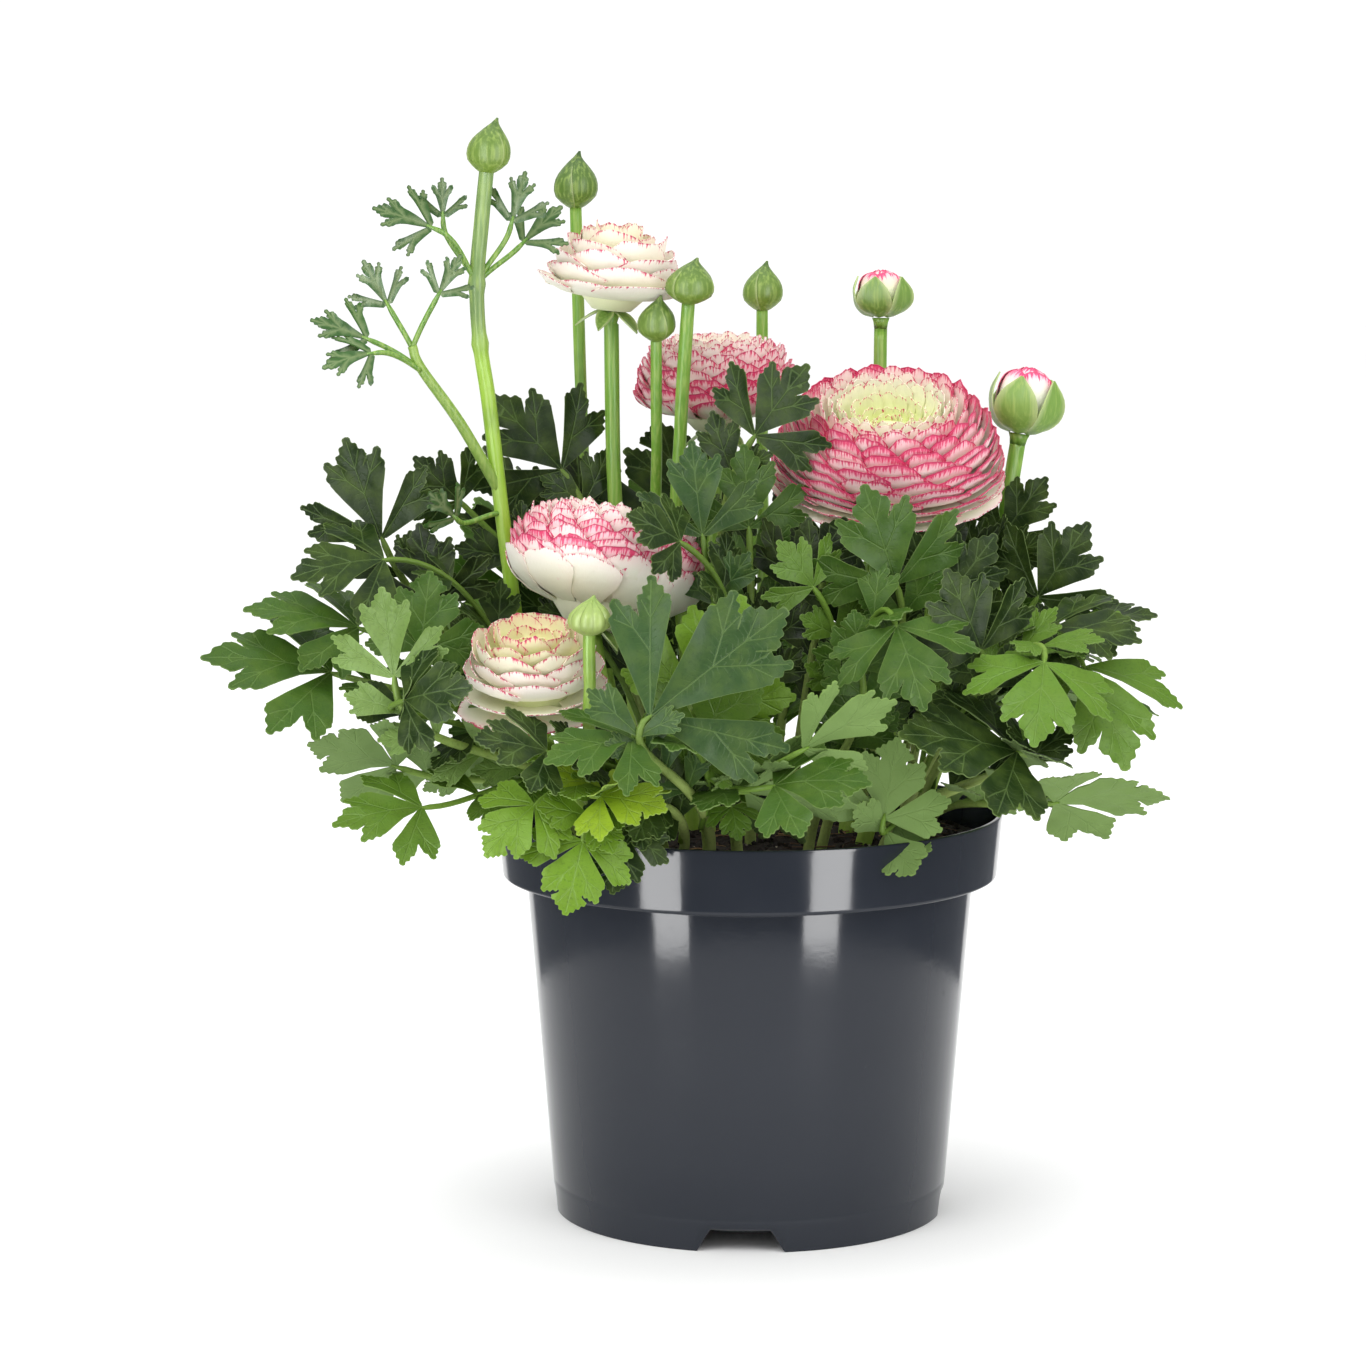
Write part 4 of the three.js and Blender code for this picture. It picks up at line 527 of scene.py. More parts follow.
class Skin:
    """Points, faces and values of one piece, gathered part by part."""

    def __init__(self, name, **defaults):
        self.name = name
        self.defaults = defaults
        self.points = []
        self.triangles = []
        self.quads = []
        self.values = {}
        self.count = 0

    def add(self, points, faces, **values):
        points = np.asarray(points, float).reshape(-1, 3)
        self.points.append(points)
        self.count += len(points)
        self.add_more(faces)
        for name, value in {**self.defaults, **values}.items():
            shape = (len(points), 3) if name == "tint" else (len(points),)
            self.values.setdefault(name, []).append(np.broadcast_to(np.asarray(value, float), shape))

    def add_more(self, faces):
        """More faces on the points that were added last."""
        faces = np.asarray(faces, int)
        target = self.triangles if faces.shape[1] == 3 else self.quads
        target.append(faces + self.count - len(self.points[-1]))

    def build(self, material, slot, *nodes):
        faces = [face for group in self.triangles + self.quads for face in group.tolist()]
        points = np.concatenate(self.points) * MM
        piece = mesh_object(self.name, points.tolist(), faces, material)
        mesh = piece.data
        for name, parts in self.values.items():
            data = np.concatenate(parts)
            if data.ndim == 2:
                colours = np.column_stack([data, np.ones(len(data))])
                mesh.color_attributes.new(name, "FLOAT_COLOR", "POINT")
                mesh.color_attributes[name].data.foreach_set("color", colours.ravel())
            else:
                mesh.attributes.new(name, "FLOAT", "POINT")
                mesh.attributes[name].data.foreach_set("value", data)
        mesh.polygons.foreach_set("use_smooth", np.ones(len(mesh.polygons), bool))
        mesh.update()
        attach(piece, "root")
        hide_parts(*nodes)
        return piece


def grid_quads(rows, columns, closed=False):
    """Faces of a grid of points, row by row. A closed grid joins its last column to its first."""
    last = columns if closed else columns - 1
    row, column = np.meshgrid(np.arange(rows - 1), np.arange(last), indexing="ij")
    row, column = row.ravel(), column.ravel()
    after = (column + 1) % columns
    low, high = row * columns, (row + 1) * columns
    return np.column_stack([low + column, low + after, high + after, high + column])


def fan(first, ring, flip=False):
    """Triangles from one point to a closed ring of points."""
    after = np.roll(ring, -1)
    pair = (after, ring) if flip else (ring, after)
    return np.column_stack([np.full(len(ring), first), *pair])


def bezier(curve, steps):
    start, low, high, end = curve
    t = np.linspace(0, 1, steps + 1)[:, None]
    s = 1 - t
    return s**3 * start + 3 * s * s * t * low + 3 * s * t * t * high + t**3 * end


def catmull_rom(points, steps):
    """The curve through the points that the stems follow, with its ends drawn on."""
    points = np.asarray(points, float)
    padded = np.vstack([2 * points[0] - points[1], points, 2 * points[-1] - points[-2]])
    spans = len(points) - 1
    places = np.linspace(0, spans, steps + 1)
    index = np.minimum(places.astype(int), spans - 1)
    t = (places - index)[:, None]
    before, start, end, after = (padded[index + k] for k in range(4))
    leave, arrive = (end - before) / 2, (after - start) / 2
    return (start + leave * t + (3 * (end - start) - 2 * leave - arrive) * t**2
            + (2 * (start - end) + leave + arrive) * t**3)


def tube_points(path, radii, sides, ridge, ridges, twist):
    """Rings of points round a path, with a frame that doesn't twist and ridges that may."""
    along = np.gradient(path, axis=0)
    along /= np.linalg.norm(along, axis=1)[:, None]
    across = np.array([math.sqrt(0.5), math.sqrt(0.5), 0.0])
    angle = turns(sides)
    rings = []
    for place, direction, radius, turn in zip(path, along, radii, np.linspace(0, twist, len(path))):
        across = unit(across - across.dot(direction) * direction)
        third = np.cross(direction, across)
        reach = radius * (1 + ridge * np.cos(ridges * (angle + turn)))
        rings.append(place + np.outer(reach * np.cos(angle), across)
                     + np.outer(reach * np.sin(angle), third))
    return np.concatenate(rings)


def add_tube(skin, path, radii, sides, ridge=0.0, ridges=1, twist=0.0, **values):
    """A closed tube. A value that is given for each point of the path goes to each ring."""
    radii = np.broadcast_to(radii, len(path))
    for name, value in values.items():
        if np.ndim(value) > 0 and len(value) == len(path):
            values[name] = np.repeat(value, sides, axis=0)
    points = tube_points(path, radii, sides, ridge, ridges, twist)
    skin.add(points, grid_quads(len(path), sides, closed=True), **values)
    middle = np.arange(1, sides - 1)
    first = np.zeros_like(middle)
    skin.add_more(np.column_stack([first, middle + 1, middle]))
    skin.add_more(np.column_stack([first, middle, middle + 1]) + (len(path) - 1) * sides)


def rotation_to(axis):
    """Turns the upright axis to the given one."""
    return np.array(Vector((0, 0, 1)).rotation_difference(Vector(axis)).to_matrix())


class Shader:
    """A node material, with short ways to add and join nodes."""

    def __init__(self, name):
        self.material = bpy.data.materials.new(name)
        self.material.use_nodes = True
        self.tree = self.material.node_tree
        self.surface = self.tree.nodes["Principled BSDF"]

    def node(self, kind, inputs=None, **settings):
        node = self.tree.nodes.new(kind)
        for name, value in settings.items():
            setattr(node, name, value)
        for name, value in (inputs or {}).items():
            self.feed(node.inputs[name], value)
        return node

    def feed(self, socket, value):
        if isinstance(value, bpy.types.NodeSocket):
            self.tree.links.new(value, socket)
        else:
            socket.default_value = value

    def set(self, **values):
        for name, value in values.items():
            self.feed(self.surface.inputs[name.replace("_", " ")], value)

    def math(self, operation, *values):
        return self.node("ShaderNodeMath", dict(enumerate(values)), operation=operation).outputs[0]

    def value(self, name):
        return self.node("ShaderNodeAttribute", attribute_name=name).outputs["Fac"]

    def colour(self, name):
        return self.node("ShaderNodeAttribute", attribute_name=name).outputs["Color"]

    def ramp(self, factor, low, high, start=0.0, end=1.0):
        """A smooth change from start to end as the factor goes from low to high."""
        inputs = {"Value": factor, "From Min": low, "From Max": high, "To Min": start, "To Max": end}
        return self.node("ShaderNodeMapRange", inputs, interpolation_type="SMOOTHSTEP").outputs[0]

    def mix(self, factor, first, second):
        inputs = {0: factor, 6: first, 7: second}
        return self.node("ShaderNodeMix", inputs, data_type="RGBA").outputs[2]

    def noise(self, scale, detail=3.0, vector=None, roughness=0.5):
        if vector is None:
            vector = self.node("ShaderNodeTexCoord").outputs["Object"]
        inputs = {"Vector": vector, "Scale": scale, "Detail": detail, "Roughness": roughness}
        return self.node("ShaderNodeTexNoise", inputs).outputs["Fac"]

    def bump(self, height, strength, distance):
        inputs = {"Height": height, "Strength": strength, "Distance": distance}
        return self.node("ShaderNodeBump", inputs).outputs["Normal"]


def pot_material():
    """Moulded dark plastic with a high gloss: slight waves, fine grain and a few scuffs."""
    shader = Shader("pot_plastic")
    haze = shader.noise(22, 4)
    grain = shader.noise(700, 2)
    scuffs = shader.noise(160, 5, roughness=0.7)
    base = shader.mix(haze, tone("pot low"), tone("pot high"))
    base = shader.mix(shader.ramp(scuffs, 0.68, 0.82, 0, 0.2), base, tone("pot scuff"))
    rough = shader.math("ADD", shader.ramp(haze, 0.3, 0.7, 0.09, 0.15),
                        shader.ramp(scuffs, 0.6, 0.85, 0, 0.2))
    height = shader.math("ADD", shader.math("MULTIPLY", haze, 6.0), shader.math("MULTIPLY", grain, 0.3))
    shader.set(Base_Color=base, Roughness=rough, Normal=shader.bump(height, 0.12, 0.0002), IOR=1.38)
    return shader.material


def soil_material():
    """Damp peat: dark brown crumbs, with a tint of its own for fibres and specks."""
    shader = Shader("peat")
    clumps = shader.noise(260, 6, roughness=0.7)
    fine = shader.noise(1500, 3)
    base = shader.mix(shader.ramp(clumps, 0.3, 0.75), tone("peat low"), tone("peat high"))
    base = shader.mix(shader.ramp(fine, 0.6, 0.75, 0, 0.5), base, tone("peat grain"))
    base = shader.mix(shader.value("speck"), base, shader.colour("tint"))
    height = shader.math("ADD", clumps, shader.math("MULTIPLY", fine, 0.3))
    shader.set(Base_Color=base, Roughness=0.92, Normal=shader.bump(height, 0.8, 0.0012),
               Specular_IOR_Level=0.25)
    return shader.material


def stem_material():
    """Juicy stem: ribs with pale lines between them, and short fine hairs as a soft sheen."""
    shader = Shader("stem_skin")
    place = shader.node("ShaderNodeTexCoord").outputs["Object"]
    stretch = shader.node("ShaderNodeMapping", {"Vector": place, "Scale": (1.0, 1.0, 0.06)})
    streaks = shader.noise(900, 3, stretch.outputs[0])
    blotches = shader.noise(70, 3)
    ribs = shader.math("SUBTRACT", shader.ramp(streaks, 0.35, 0.75, 0, 0.5), shader.value("blade"))
    base = shader.mix(ribs, shader.colour("tint"), tone("stem line"))
    base = shader.mix(shader.ramp(blotches, 0.5, 0.8, 0, 0.3), base, tone("stem blotch"))
    base = shader.mix(shader.value("pale"), base, tone("stem pale"))
    shader.set(Base_Color=base, Roughness=shader.ramp(streaks, 0.3, 0.7, 0.36, 0.5),
               Normal=shader.bump(streaks, 0.35, 0.0004), Specular_IOR_Level=0.3)
    return shader.material


def leaf_material():
    """Leaf: pale palmate veins that sink into the blade, a thin pale margin and a matt underside."""
    shader = Shader("leaf_blade")
    rib = shader.value("rib")
    under = shader.value("under")
    blade = shader.math("SUBTRACT", 1.0, shader.value("stalk"))
    midrib = shader.ramp(rib, 0.08, 0.42, 1, 0)
    forward = shader.math("SUBTRACT", shader.value("along"), shader.math("MULTIPLY", rib, 0.9))
    phase = shader.math("FRACT", shader.math("DIVIDE", forward, 2.5))
    near = shader.math("ABSOLUTE", shader.math("SUBTRACT", phase, 0.5))
    side_vein = shader.ramp(near, 0.0, 0.09, 1, 0)
    reach = shader.ramp(rib, 0.3, 4.5, 0.3, 0.0)
    veins = shader.math("MAXIMUM", midrib, shader.math("MULTIPLY", side_vein, reach))
    veins = shader.math("MULTIPLY", veins, blade)
    mottle = shader.noise(120, 4)
    fine = shader.noise(900, 3)
    tint = shader.colour("tint")
    upper = shader.mix(shader.ramp(mottle, 0.35, 0.8, 0, 0.3), tint, tone("leaf mottle"))
    upper = shader.mix(shader.ramp(fine, 0.5, 0.8, 0, 0.3), upper, tone("leaf shade"))
    base = shader.mix(under, upper, shader.mix(0.55, tint, tone("leaf under")))
    base = shader.mix(shader.math("MULTIPLY", veins, 0.2), base, tone("leaf vein"))
    margin = shader.math("MULTIPLY", shader.ramp(shader.value("edge"), 0.05, 0.3, 0.18, 0), blade)
    base = shader.mix(margin, base, tone("leaf margin"))
    gloss = shader.ramp(mottle, 0.3, 0.7, 0.42, 0.54)
    rough = shader.math("ADD", gloss, shader.math("MULTIPLY", under, 0.22))
    quilt = shader.math("SUBTRACT", shader.math("MULTIPLY", fine, 0.25), veins)
    height = shader.math("ADD", quilt, shader.math("MULTIPLY", mottle, 0.8))
    shader.set(Base_Color=base, Roughness=rough, Normal=shader.bump(height, 0.5, 0.0005),
               Specular_IOR_Level=0.11)
    return shader.material


def petal_material():
    """Petal: cream white with fine striations, and a magenta edge that runs in as short strokes."""
    shader = Shader("petal_skin")
    edge = shader.value("edge")
    across = shader.value("across")
    along = shader.math("MULTIPLY", shader.value("along"), 0.08)
    place = shader.node("ShaderNodeCombineXYZ", {"X": across, "Y": along}).outputs[0]
    strokes = shader.noise(1.1, 4, place, 0.65)
    fine = shader.noise(4.0, 2, place)
    blush = shader.value("blush")
    bare = shader.math("MULTIPLY", shader.math("SUBTRACT", 1.0, blush), 3.6)
    reach = shader.math("SUBTRACT", shader.ramp(strokes, 0.34, 0.7, 0.2, 5.0), bare)
    pink = shader.ramp(shader.math("SUBTRACT", edge, reach), -1.1, 0.3, 0.95, 0)
    line = shader.ramp(edge, 0.18, 0.6, 1, 0)
    line = shader.math("MULTIPLY", line, shader.ramp(reach, -1.0, 0.6, 0.1, 0.95))
    glow = shader.math("MULTIPLY", shader.ramp(edge, 0.0, 8.0, 0.85, 0.0), shader.math("POWER", blush, 1.5))
    base = shader.mix(shader.value("green"), tone("petal"), tone("petal green"))
    base = shader.mix(shader.ramp(fine, 0.35, 0.8, 0, 0.2), base, tone("petal streak"))
    for share, name in ((glow, "petal glow"), (pink, "petal pink"), (line, "petal line")):
        base = shader.mix(share, base, tone(name))
    shader.set(Base_Color=base, Roughness=0.55, Normal=shader.bump(fine, 0.25, 0.0003),
               Sheen_Weight=0.15, Sheen_Roughness=0.5, Specular_IOR_Level=0.3)
    return shader.material


def plain_material(name, scale, low, high, **looks):
    """A matt surface of two near tones."""
    shader = Shader(name)
    shader.set(Base_Color=shader.mix(shader.noise(scale, 2), tone(low), tone(high)), **looks)
    return shader.material


def round_profile(corners):
    """Profile with each corner turned into a short curve. Rows are radius, height, rounding."""
    rows = []
    count = len(corners)
    for i, (radius, height, rounding) in enumerate(corners):
        here = np.array([radius, height])
        if rounding == 0 or i in (0, count - 1):
            rows.append(here)
            continue
        before = np.array(corners[i - 1][:2]) - here
        after = np.array(corners[i + 1][:2]) - here
        start = here + unit(before) * min(rounding, np.linalg.norm(before) / 2)
        end = here + unit(after) * min(rounding, np.linalg.norm(after) / 2)
        for t in np.linspace(0, 1, ROUND_STEPS + 1):
            rows.append((1 - t) ** 2 * start + 2 * t * (1 - t) * here + t * t * end)
    return np.array(rows)


def notch_lift(angles, radius):
    """How far the foot's lower edge rises at each bearing, for the four notches."""
    lift = np.zeros_like(angles)
    for bearing in NOTCH_BEARINGS:
        turn = (angles - math.radians(bearing) + math.pi) % FULL_TURN - math.pi
        side = np.abs(radius * np.sin(turn))
        slope = NOTCH_HEIGHT / ((NOTCH_FOOT_WIDTH - NOTCH_TOP_WIDTH) / 2)
        rise = np.where(np.abs(turn) < 1, (NOTCH_FOOT_WIDTH / 2 - side) * slope, 0)
        lift = np.maximum(lift, np.clip(rise, 0, NOTCH_HEIGHT))
    # The notches' upper corners are rounded
    knee = NOTCH_HEIGHT - NOTCH_ROUND
    over = np.clip((lift - knee) / NOTCH_ROUND, 0, 1)
    return np.where(lift > knee, knee + NOTCH_ROUND * (over - 0.15 * over * (1 - over) * 4), lift)


def pot_angles():
    """Columns round the pot, closer together at the sides of the notches."""
    angles = list(turns(POT_COLUMNS))
    for bearing in NOTCH_BEARINGS:
        for offset in np.linspace(NOTCH_TOP_WIDTH / 2 - 1, NOTCH_FOOT_WIDTH / 2 + 0.4, 10):
            turn = math.asin(offset / FOOT_RADIUS)
            angles += [(math.radians(bearing) + side * turn) % FULL_TURN for side in (-1, 1)]
    angles = np.unique(np.round(angles, 5))
    return angles[np.append(True, np.diff(angles) > 0.002)]


def wall_radius(height):
    return FOOT_RADIUS + (BODY_TOP_RADIUS - FOOT_RADIUS) * height / BAND_FOOT


def band_radius(height):
    rise = (height - BAND_FOOT) / (POT_HEIGHT - BAND_FOOT)
    return BAND_FOOT_RADIUS + (RIM_RADIUS - BAND_FOOT_RADIUS) * rise


def pot_corners():
    """The pot's profile from the middle of its underside over the rim to the middle of its floor."""
    floor_top = FLOOR_RISE + WALL
    seam_low, seam_high = SEAM_HEIGHT - SEAM_HALF_WIDTH, SEAM_HEIGHT + SEAM_HALF_WIDTH
    return [
        (CENTRE_RADIUS, 0, 0), (PAD_RADIUS, 0, INNER_ROUND),
        (PAD_RADIUS + PAD_SLOPE, FLOOR_RISE, INNER_ROUND), (FOOT_RADIUS - WALL, FLOOR_RISE, 0),
        (FOOT_RADIUS - WALL, 0, FOOT_INNER_ROUND), (FOOT_RADIUS, 0, FOOT_OUTER_ROUND),
        (wall_radius(SKIRT_LEVEL), SKIRT_LEVEL, 0), (wall_radius(seam_low), seam_low, 0),
        (wall_radius(SEAM_HEIGHT) - SEAM_DEPTH, SEAM_HEIGHT, 0), (wall_radius(seam_high), seam_high, 0),
        *((wall_radius(level), level, 0) for level in BODY_LEVELS),
        (BODY_TOP_RADIUS, BAND_FOOT, BODY_TOP_ROUND), (BAND_FOOT_RADIUS, BAND_FOOT, BAND_ROUND),
        *((band_radius(level), level, 0) for level in BAND_LEVELS),
        (RIM_RADIUS, POT_HEIGHT, RIM_ROUND), (RIM_RADIUS - WALL, POT_HEIGHT, RIM_ROUND),
        (BAND_FOOT_RADIUS - WALL, BAND_FOOT + WALL, INNER_ROUND),
        (BODY_TOP_RADIUS - WALL, BAND_FOOT + WALL, INNER_ROUND),
        (FOOT_RADIUS - WALL, floor_top, INNER_ROUND),
        (PAD_RADIUS + PAD_SLOPE + WALL, floor_top, INNER_ROUND),
        (PAD_RADIUS + WALL, WALL, INNER_ROUND), (CENTRE_RADIUS, WALL, 0)]


def make_pot(material):
    """The pot as one turned profile with notches in its foot and holes in its floor."""
    angles = pot_angles()
    rows = []
    for radius, height in round_profile(pot_corners()):
        level = height
        if FOOT_RADIUS - WALL - 0.5 < radius and height < FLOOR_RISE:
            level = np.maximum(height, notch_lift(angles, FOOT_RADIUS) + height * 0.02)
        rows.append(around(radius, angles, level))
    skin = Skin("pot_piece")
    skin.add(np.concatenate(rows), grid_quads(len(rows), len(angles), closed=True))
    cut_drains(skin.build(material, "pot", "pot"))


def cut_drains(pot):
    """Round drain holes through the floor."""
    points = []
    faces = []
    for i, bearing in enumerate(DRAIN_BEARINGS):
        centre = around(DRAIN_RING, math.radians(bearing), 0)
        for height in (FLOOR_RISE - DRAIN_MARGIN, FLOOR_RISE + WALL + DRAIN_MARGIN):
            points.append(centre + around(DRAIN_RADIUS, turns(DRAIN_SIDES), height))
        wall = grid_quads(2, DRAIN_SIDES, closed=True) + 2 * DRAIN_SIDES * i
        faces += [*wall.tolist(), wall[::-1, 0].tolist(), wall[:, 3].tolist()]
    cutter = mesh_object("drain_cutters", (np.concatenate(points) * MM).tolist(), faces)
    modifier = pot.modifiers.new("drains", "BOOLEAN")
    modifier.operation = "DIFFERENCE"
    modifier.object = cutter
    result = bpy.data.meshes.new_from_object(pot.evaluated_get(bpy.context.evaluated_depsgraph_get()))
    pot.modifiers.clear()
    pot.data = result
    bpy.data.objects.remove(cutter)


def soil_height(x, y, rough):
    """Height of the peat's surface: level where things grow, lower and uneven at the wall."""
    radius = np.hypot(x, y)
    angle = np.arctan2(y, x)
    fall = SOIL_FALL * smooth((radius - SOIL_LEVEL_RADIUS) / SOIL_FALL_WIDTH)
    waves = 0.5 * np.sin(3 * angle + 1) + 0.4 * np.sin(7 * angle + 2.5)
    lumps = 0.7 * np.sin(x * 0.31 + 1.3) * np.sin(y * 0.27 + 0.4) + rough
    return SOIL_TOP - fall - SOIL_SINK + waves * smooth((radius - 60) / 25) + 0.5 * lumps


def make_soil(material):
    """The peat from wall to wall, with crumbs, specks and fibres on it."""
    generator = np.random.default_rng(SOIL_SEED)
    skin = Skin("soil_piece")
    gap = WALL + 2 * CLEARANCE
    floor = FLOOR_RISE + WALL + CLEARANCE
    edge_radius = BAND_FOOT_RADIUS - gap + SOIL_EDGE
    radii = np.append(np.linspace(1.2, edge_radius - 0.4, SOIL_RINGS), edge_radius)
    angles = turns(SOIL_SIDES)
    surface = around(*np.meshgrid(radii, angles, indexing="ij"), 0.0)
    x, y = surface[..., 0], surface[..., 1]
    surface[..., 2] = soil_height(x, y, generator.normal(0, SOIL_ROUGHNESS, x.shape))
    lower = [(BAND_FOOT_RADIUS - gap, BAND_FOOT + WALL + CLEARANCE),
             (BODY_TOP_RADIUS - gap, BAND_FOOT + WALL), (FOOT_RADIUS - gap, floor),
             (PAD_RADIUS + PAD_SLOPE + WALL - 1, floor), (PAD_RADIUS + WALL - 1, WALL + CLEARANCE),
             (0.5, WALL + CLEARANCE)]
    rings = [*surface, *(around(radius, angles, level) for radius, level in lower)]
    plain = dict(tint=np.zeros(3), speck=0.0)
    skin.add(np.vstack(rings), grid_quads(len(rings), SOIL_SIDES, closed=True)[:, ::-1], **plain)
    centre = [[0, 0, soil_height(0.0, 0.0, 0.0)]]
    skin.add(np.vstack([centre, surface[0]]), fan(0, np.arange(1, SOIL_SIDES + 1)), **plain)
    add_crumbs(skin, generator, edge_radius - 1.5)
    add_fibres(skin, generator, edge_radius - 3)
    skin.build(material, "soil", "soil")


def crumb(generator, size):
    """Points of a small uneven lump: one below, two rings and one above."""
    low = around(1, turns(CRUMB_SIDES), -0.35)
    high = around(0.8, turns(CRUMB_SIDES) + 0.6, 0.4)
    points = np.vstack([[[0, 0, -0.8]], low, high, [[0, 0, 0.85]]])
    return points * size * generator.uniform(0.7, 1.3, points.shape)


def crumb_faces():
    """Triangles of a crumb: a fan below, two for each side and a fan above."""
    wall = grid_quads(2, CRUMB_SIDES, closed=True) + 1
    return np.vstack([fan(0, wall[:, 0], flip=True), wall[:, [0, 1, 2]], wall[:, [0, 2, 3]],
                      fan(2 * CRUMB_SIDES + 1, wall[:, 3])])


def scatter(generator, reach):
    """A place drawn on the peat's surface."""
    radius = reach * math.sqrt(generator.uniform())
    angle = generator.uniform(0, FULL_TURN)
    x, y = radius * math.cos(angle), radius * math.sin(angle)
    return np.array([x, y, soil_height(x, y, 0)])


def add_crumbs(skin, generator, reach):
    faces = crumb_faces()
    for i in range(CRUMBS + SPECKS):
        is_speck = i >= CRUMBS
        size = generator.uniform(*(SPECK_SIZE if is_speck else CRUMB_SIZE))
        place = scatter(generator, reach) + UP * 0.3 * size
        tint = colour("speck") * generator.uniform(0.6, 1.1) if is_speck else np.zeros(3)
        skin.add(crumb(generator, size) + place, faces, tint=tint, speck=float(is_speck))


def add_fibres(skin, generator, reach):
    colours = [colour(name) for name in ("brown fibre", "straw fibre", "dark fibre")]
    for _ in range(FIBRES):
        place = scatter(generator, reach - 8) + UP * generator.uniform(0.3, 1.4)
        angle = generator.uniform(0, FULL_TURN)
        length = generator.uniform(*FIBRE_LENGTH)
        heading = np.array([math.cos(angle), math.sin(angle), generator.uniform(-0.1, 0.1)])
        side = np.array([-heading[1], heading[0], 0]) * generator.uniform(-0.25, 0.25)
        t = np.linspace(-0.5, 0.5, 7)[:, None]
        path = place + heading * length * t + side * length * (4 * t * t - 1) + UP * (0.25 - t * t)
        if (np.hypot(path[:, 0], path[:, 1]) < reach).all():
            radius = generator.uniform(*FIBRE_RADIUS)
            add_tube(skin, path, radius, 4, tint=colours[generator.integers(3)], speck=1.0)


def polar(origin, radius, degrees):
    """A point of the leaf's plan at a distance and a bearing from another one."""
    angle = math.radians(degrees)
    return np.array([origin[0] + radius * math.cos(angle), origin[1] + radius * math.sin(angle)])


def toothed(start, end, rising, scale):
    """Points between two corners of a lobe's edge, with rounded teeth that lean to its tip."""
    step = end - start
    length = np.linalg.norm(step)
    teeth = max(1, round(length / (TOOTH_PITCH * scale)))
    outward = np.array([step[1], -step[0]]) / length
    depth = TOOTH_DEPTH * scale
    return [start + step * (k + share) / teeth + outward * out * depth for k in range(teeth)
            for share, out in zip(RISING_TOOTH if rising else FALLING_TOOTH, TOOTH_FORM)]


def lobe_edge(hub, heading, reach, form, free_right, free_left, scale):
    """Outline of one lobe from its right flank over its tip to its left flank."""
    def at(along, side):
        base = polar(hub, along * reach, heading)
        return polar(base, side * form["width"] * LOBE_SWELL * reach, heading + 90)

    deep = form["shoulder"] - form["sinus"] > DEEP_SINUS
    flank, shoulder = form["shoulder"] - FLANK_DROP, form["shoulder"]
    right, left = (1.0 if free else JOINED_SIDE for free in (free_right, free_left))
    tip = at(LOBE_TIP, 0)
    beside, side = TIP_SIDE
    points = [at(flank, -FLANK_SIDE * right)] if deep else []
    points += [at(shoulder, -right)]
    points += toothed(at(shoulder, -right), tip, True, scale)
    points += [at(beside, -side), tip, at(beside, side)]
    points += toothed(tip, at(shoulder, left), False, scale)
    points += [at(shoulder, left)]
    points += [at(flank, FLANK_SIDE * left)] if deep else []
    return points


def leaflet_plan(form, size, turn, lobes, right, left):
    """Outline and ribs of one leaflet in the leaf's flat plan."""
    hub = polar((0, 0), form["hub"] * size, turn)
    scale = min(1.25, max(0.6, size / 40))

    def above_neck(neck, corner):
        return NECK_SHARE * neck + (1 - NECK_SHARE) * corner + NECK_BULGE * (hub - neck)

    outline = [np.zeros(2), right]
    ribs = [(np.zeros(2), hub)]
    for j, lobe in enumerate(lobes):
        heading = turn + lobe * form["turn"]
        reach = (1 - form["hub"]) * size * (1 if lobe == 0 else form["side"])
        free_right = lobe < 1 and not (lobe == 0 and turn < 0 and len(lobes) > 1)
        free_left = lobe > -1 and not (lobe == 0 and turn > 0 and len(lobes) > 1)
        edge = lobe_edge(hub, heading, reach, form, free_right, free_left, scale)
        if j == 0:
            outline.append(above_neck(right, edge[0]))
        outline += edge
        ribs.append((hub, polar(hub, RIB_REACH * reach, heading)))
        fork = polar(hub, FORK_AT * reach, heading)
        shoulder = polar(hub, (form["shoulder"] + FORK_RISE) * reach, heading)
        for side in (-1, 1):
            ribs.append((fork, polar(shoulder, side * FORK_SIDE * form["width"] * reach, heading + 90)))
        if j + 1 < len(lobes):
            sinus_reach = form["sinus"] * (1 - form["hub"]) * size
            outline.append(polar(hub, sinus_reach, heading + form["turn"] / 2))
    outline += [above_neck(left, outline[-1]), left]
    return np.array(outline), np.array(ribs)


def cut_corners(outline):
    """Rounds the outline's corners, apart from its first point and the two necks."""
    start, end = outline[1:-1], outline[2:]
    cut = np.empty((2 * len(start), 2))
    cut[0::2] = fade(start, end, CORNER_CUT)
    cut[1::2] = fade(end, start, CORNER_CUT)
    return np.vstack([outline[:2], cut, outline[-1:]])


def edges_of(outline):
    """Start and end of each edge of a closed outline."""
    return np.stack([outline, np.roll(outline, -1, axis=0)], axis=1)


def segment_distance(points, segments):
    """Distance of each point from the nearest of the segments."""
    starts, ends = segments[:, 0], segments[:, 1]
    step = ends - starts
    offset = points[:, None] - starts[None]
    share = np.clip((offset * step).sum(2) / (step * step).sum(1), 0, 1)
    return np.linalg.norm(offset - share[..., None] * step, axis=2).min(1)


def is_inside(points, outline):
    after = np.roll(outline, -1, axis=0)
    x, y = points[:, :1], points[:, 1:]
    crosses = (outline[:, 1] > y) != (after[:, 1] > y)
    rise = after[:, 1] - outline[:, 1]
    rise = np.where(np.abs(rise) < TINY, TINY, rise)
    at = outline[:, 0] + (y - outline[:, 1]) / rise * (after[:, 0] - outline[:, 0])
    return (crosses & (x < at)).sum(1) % 2 == 1


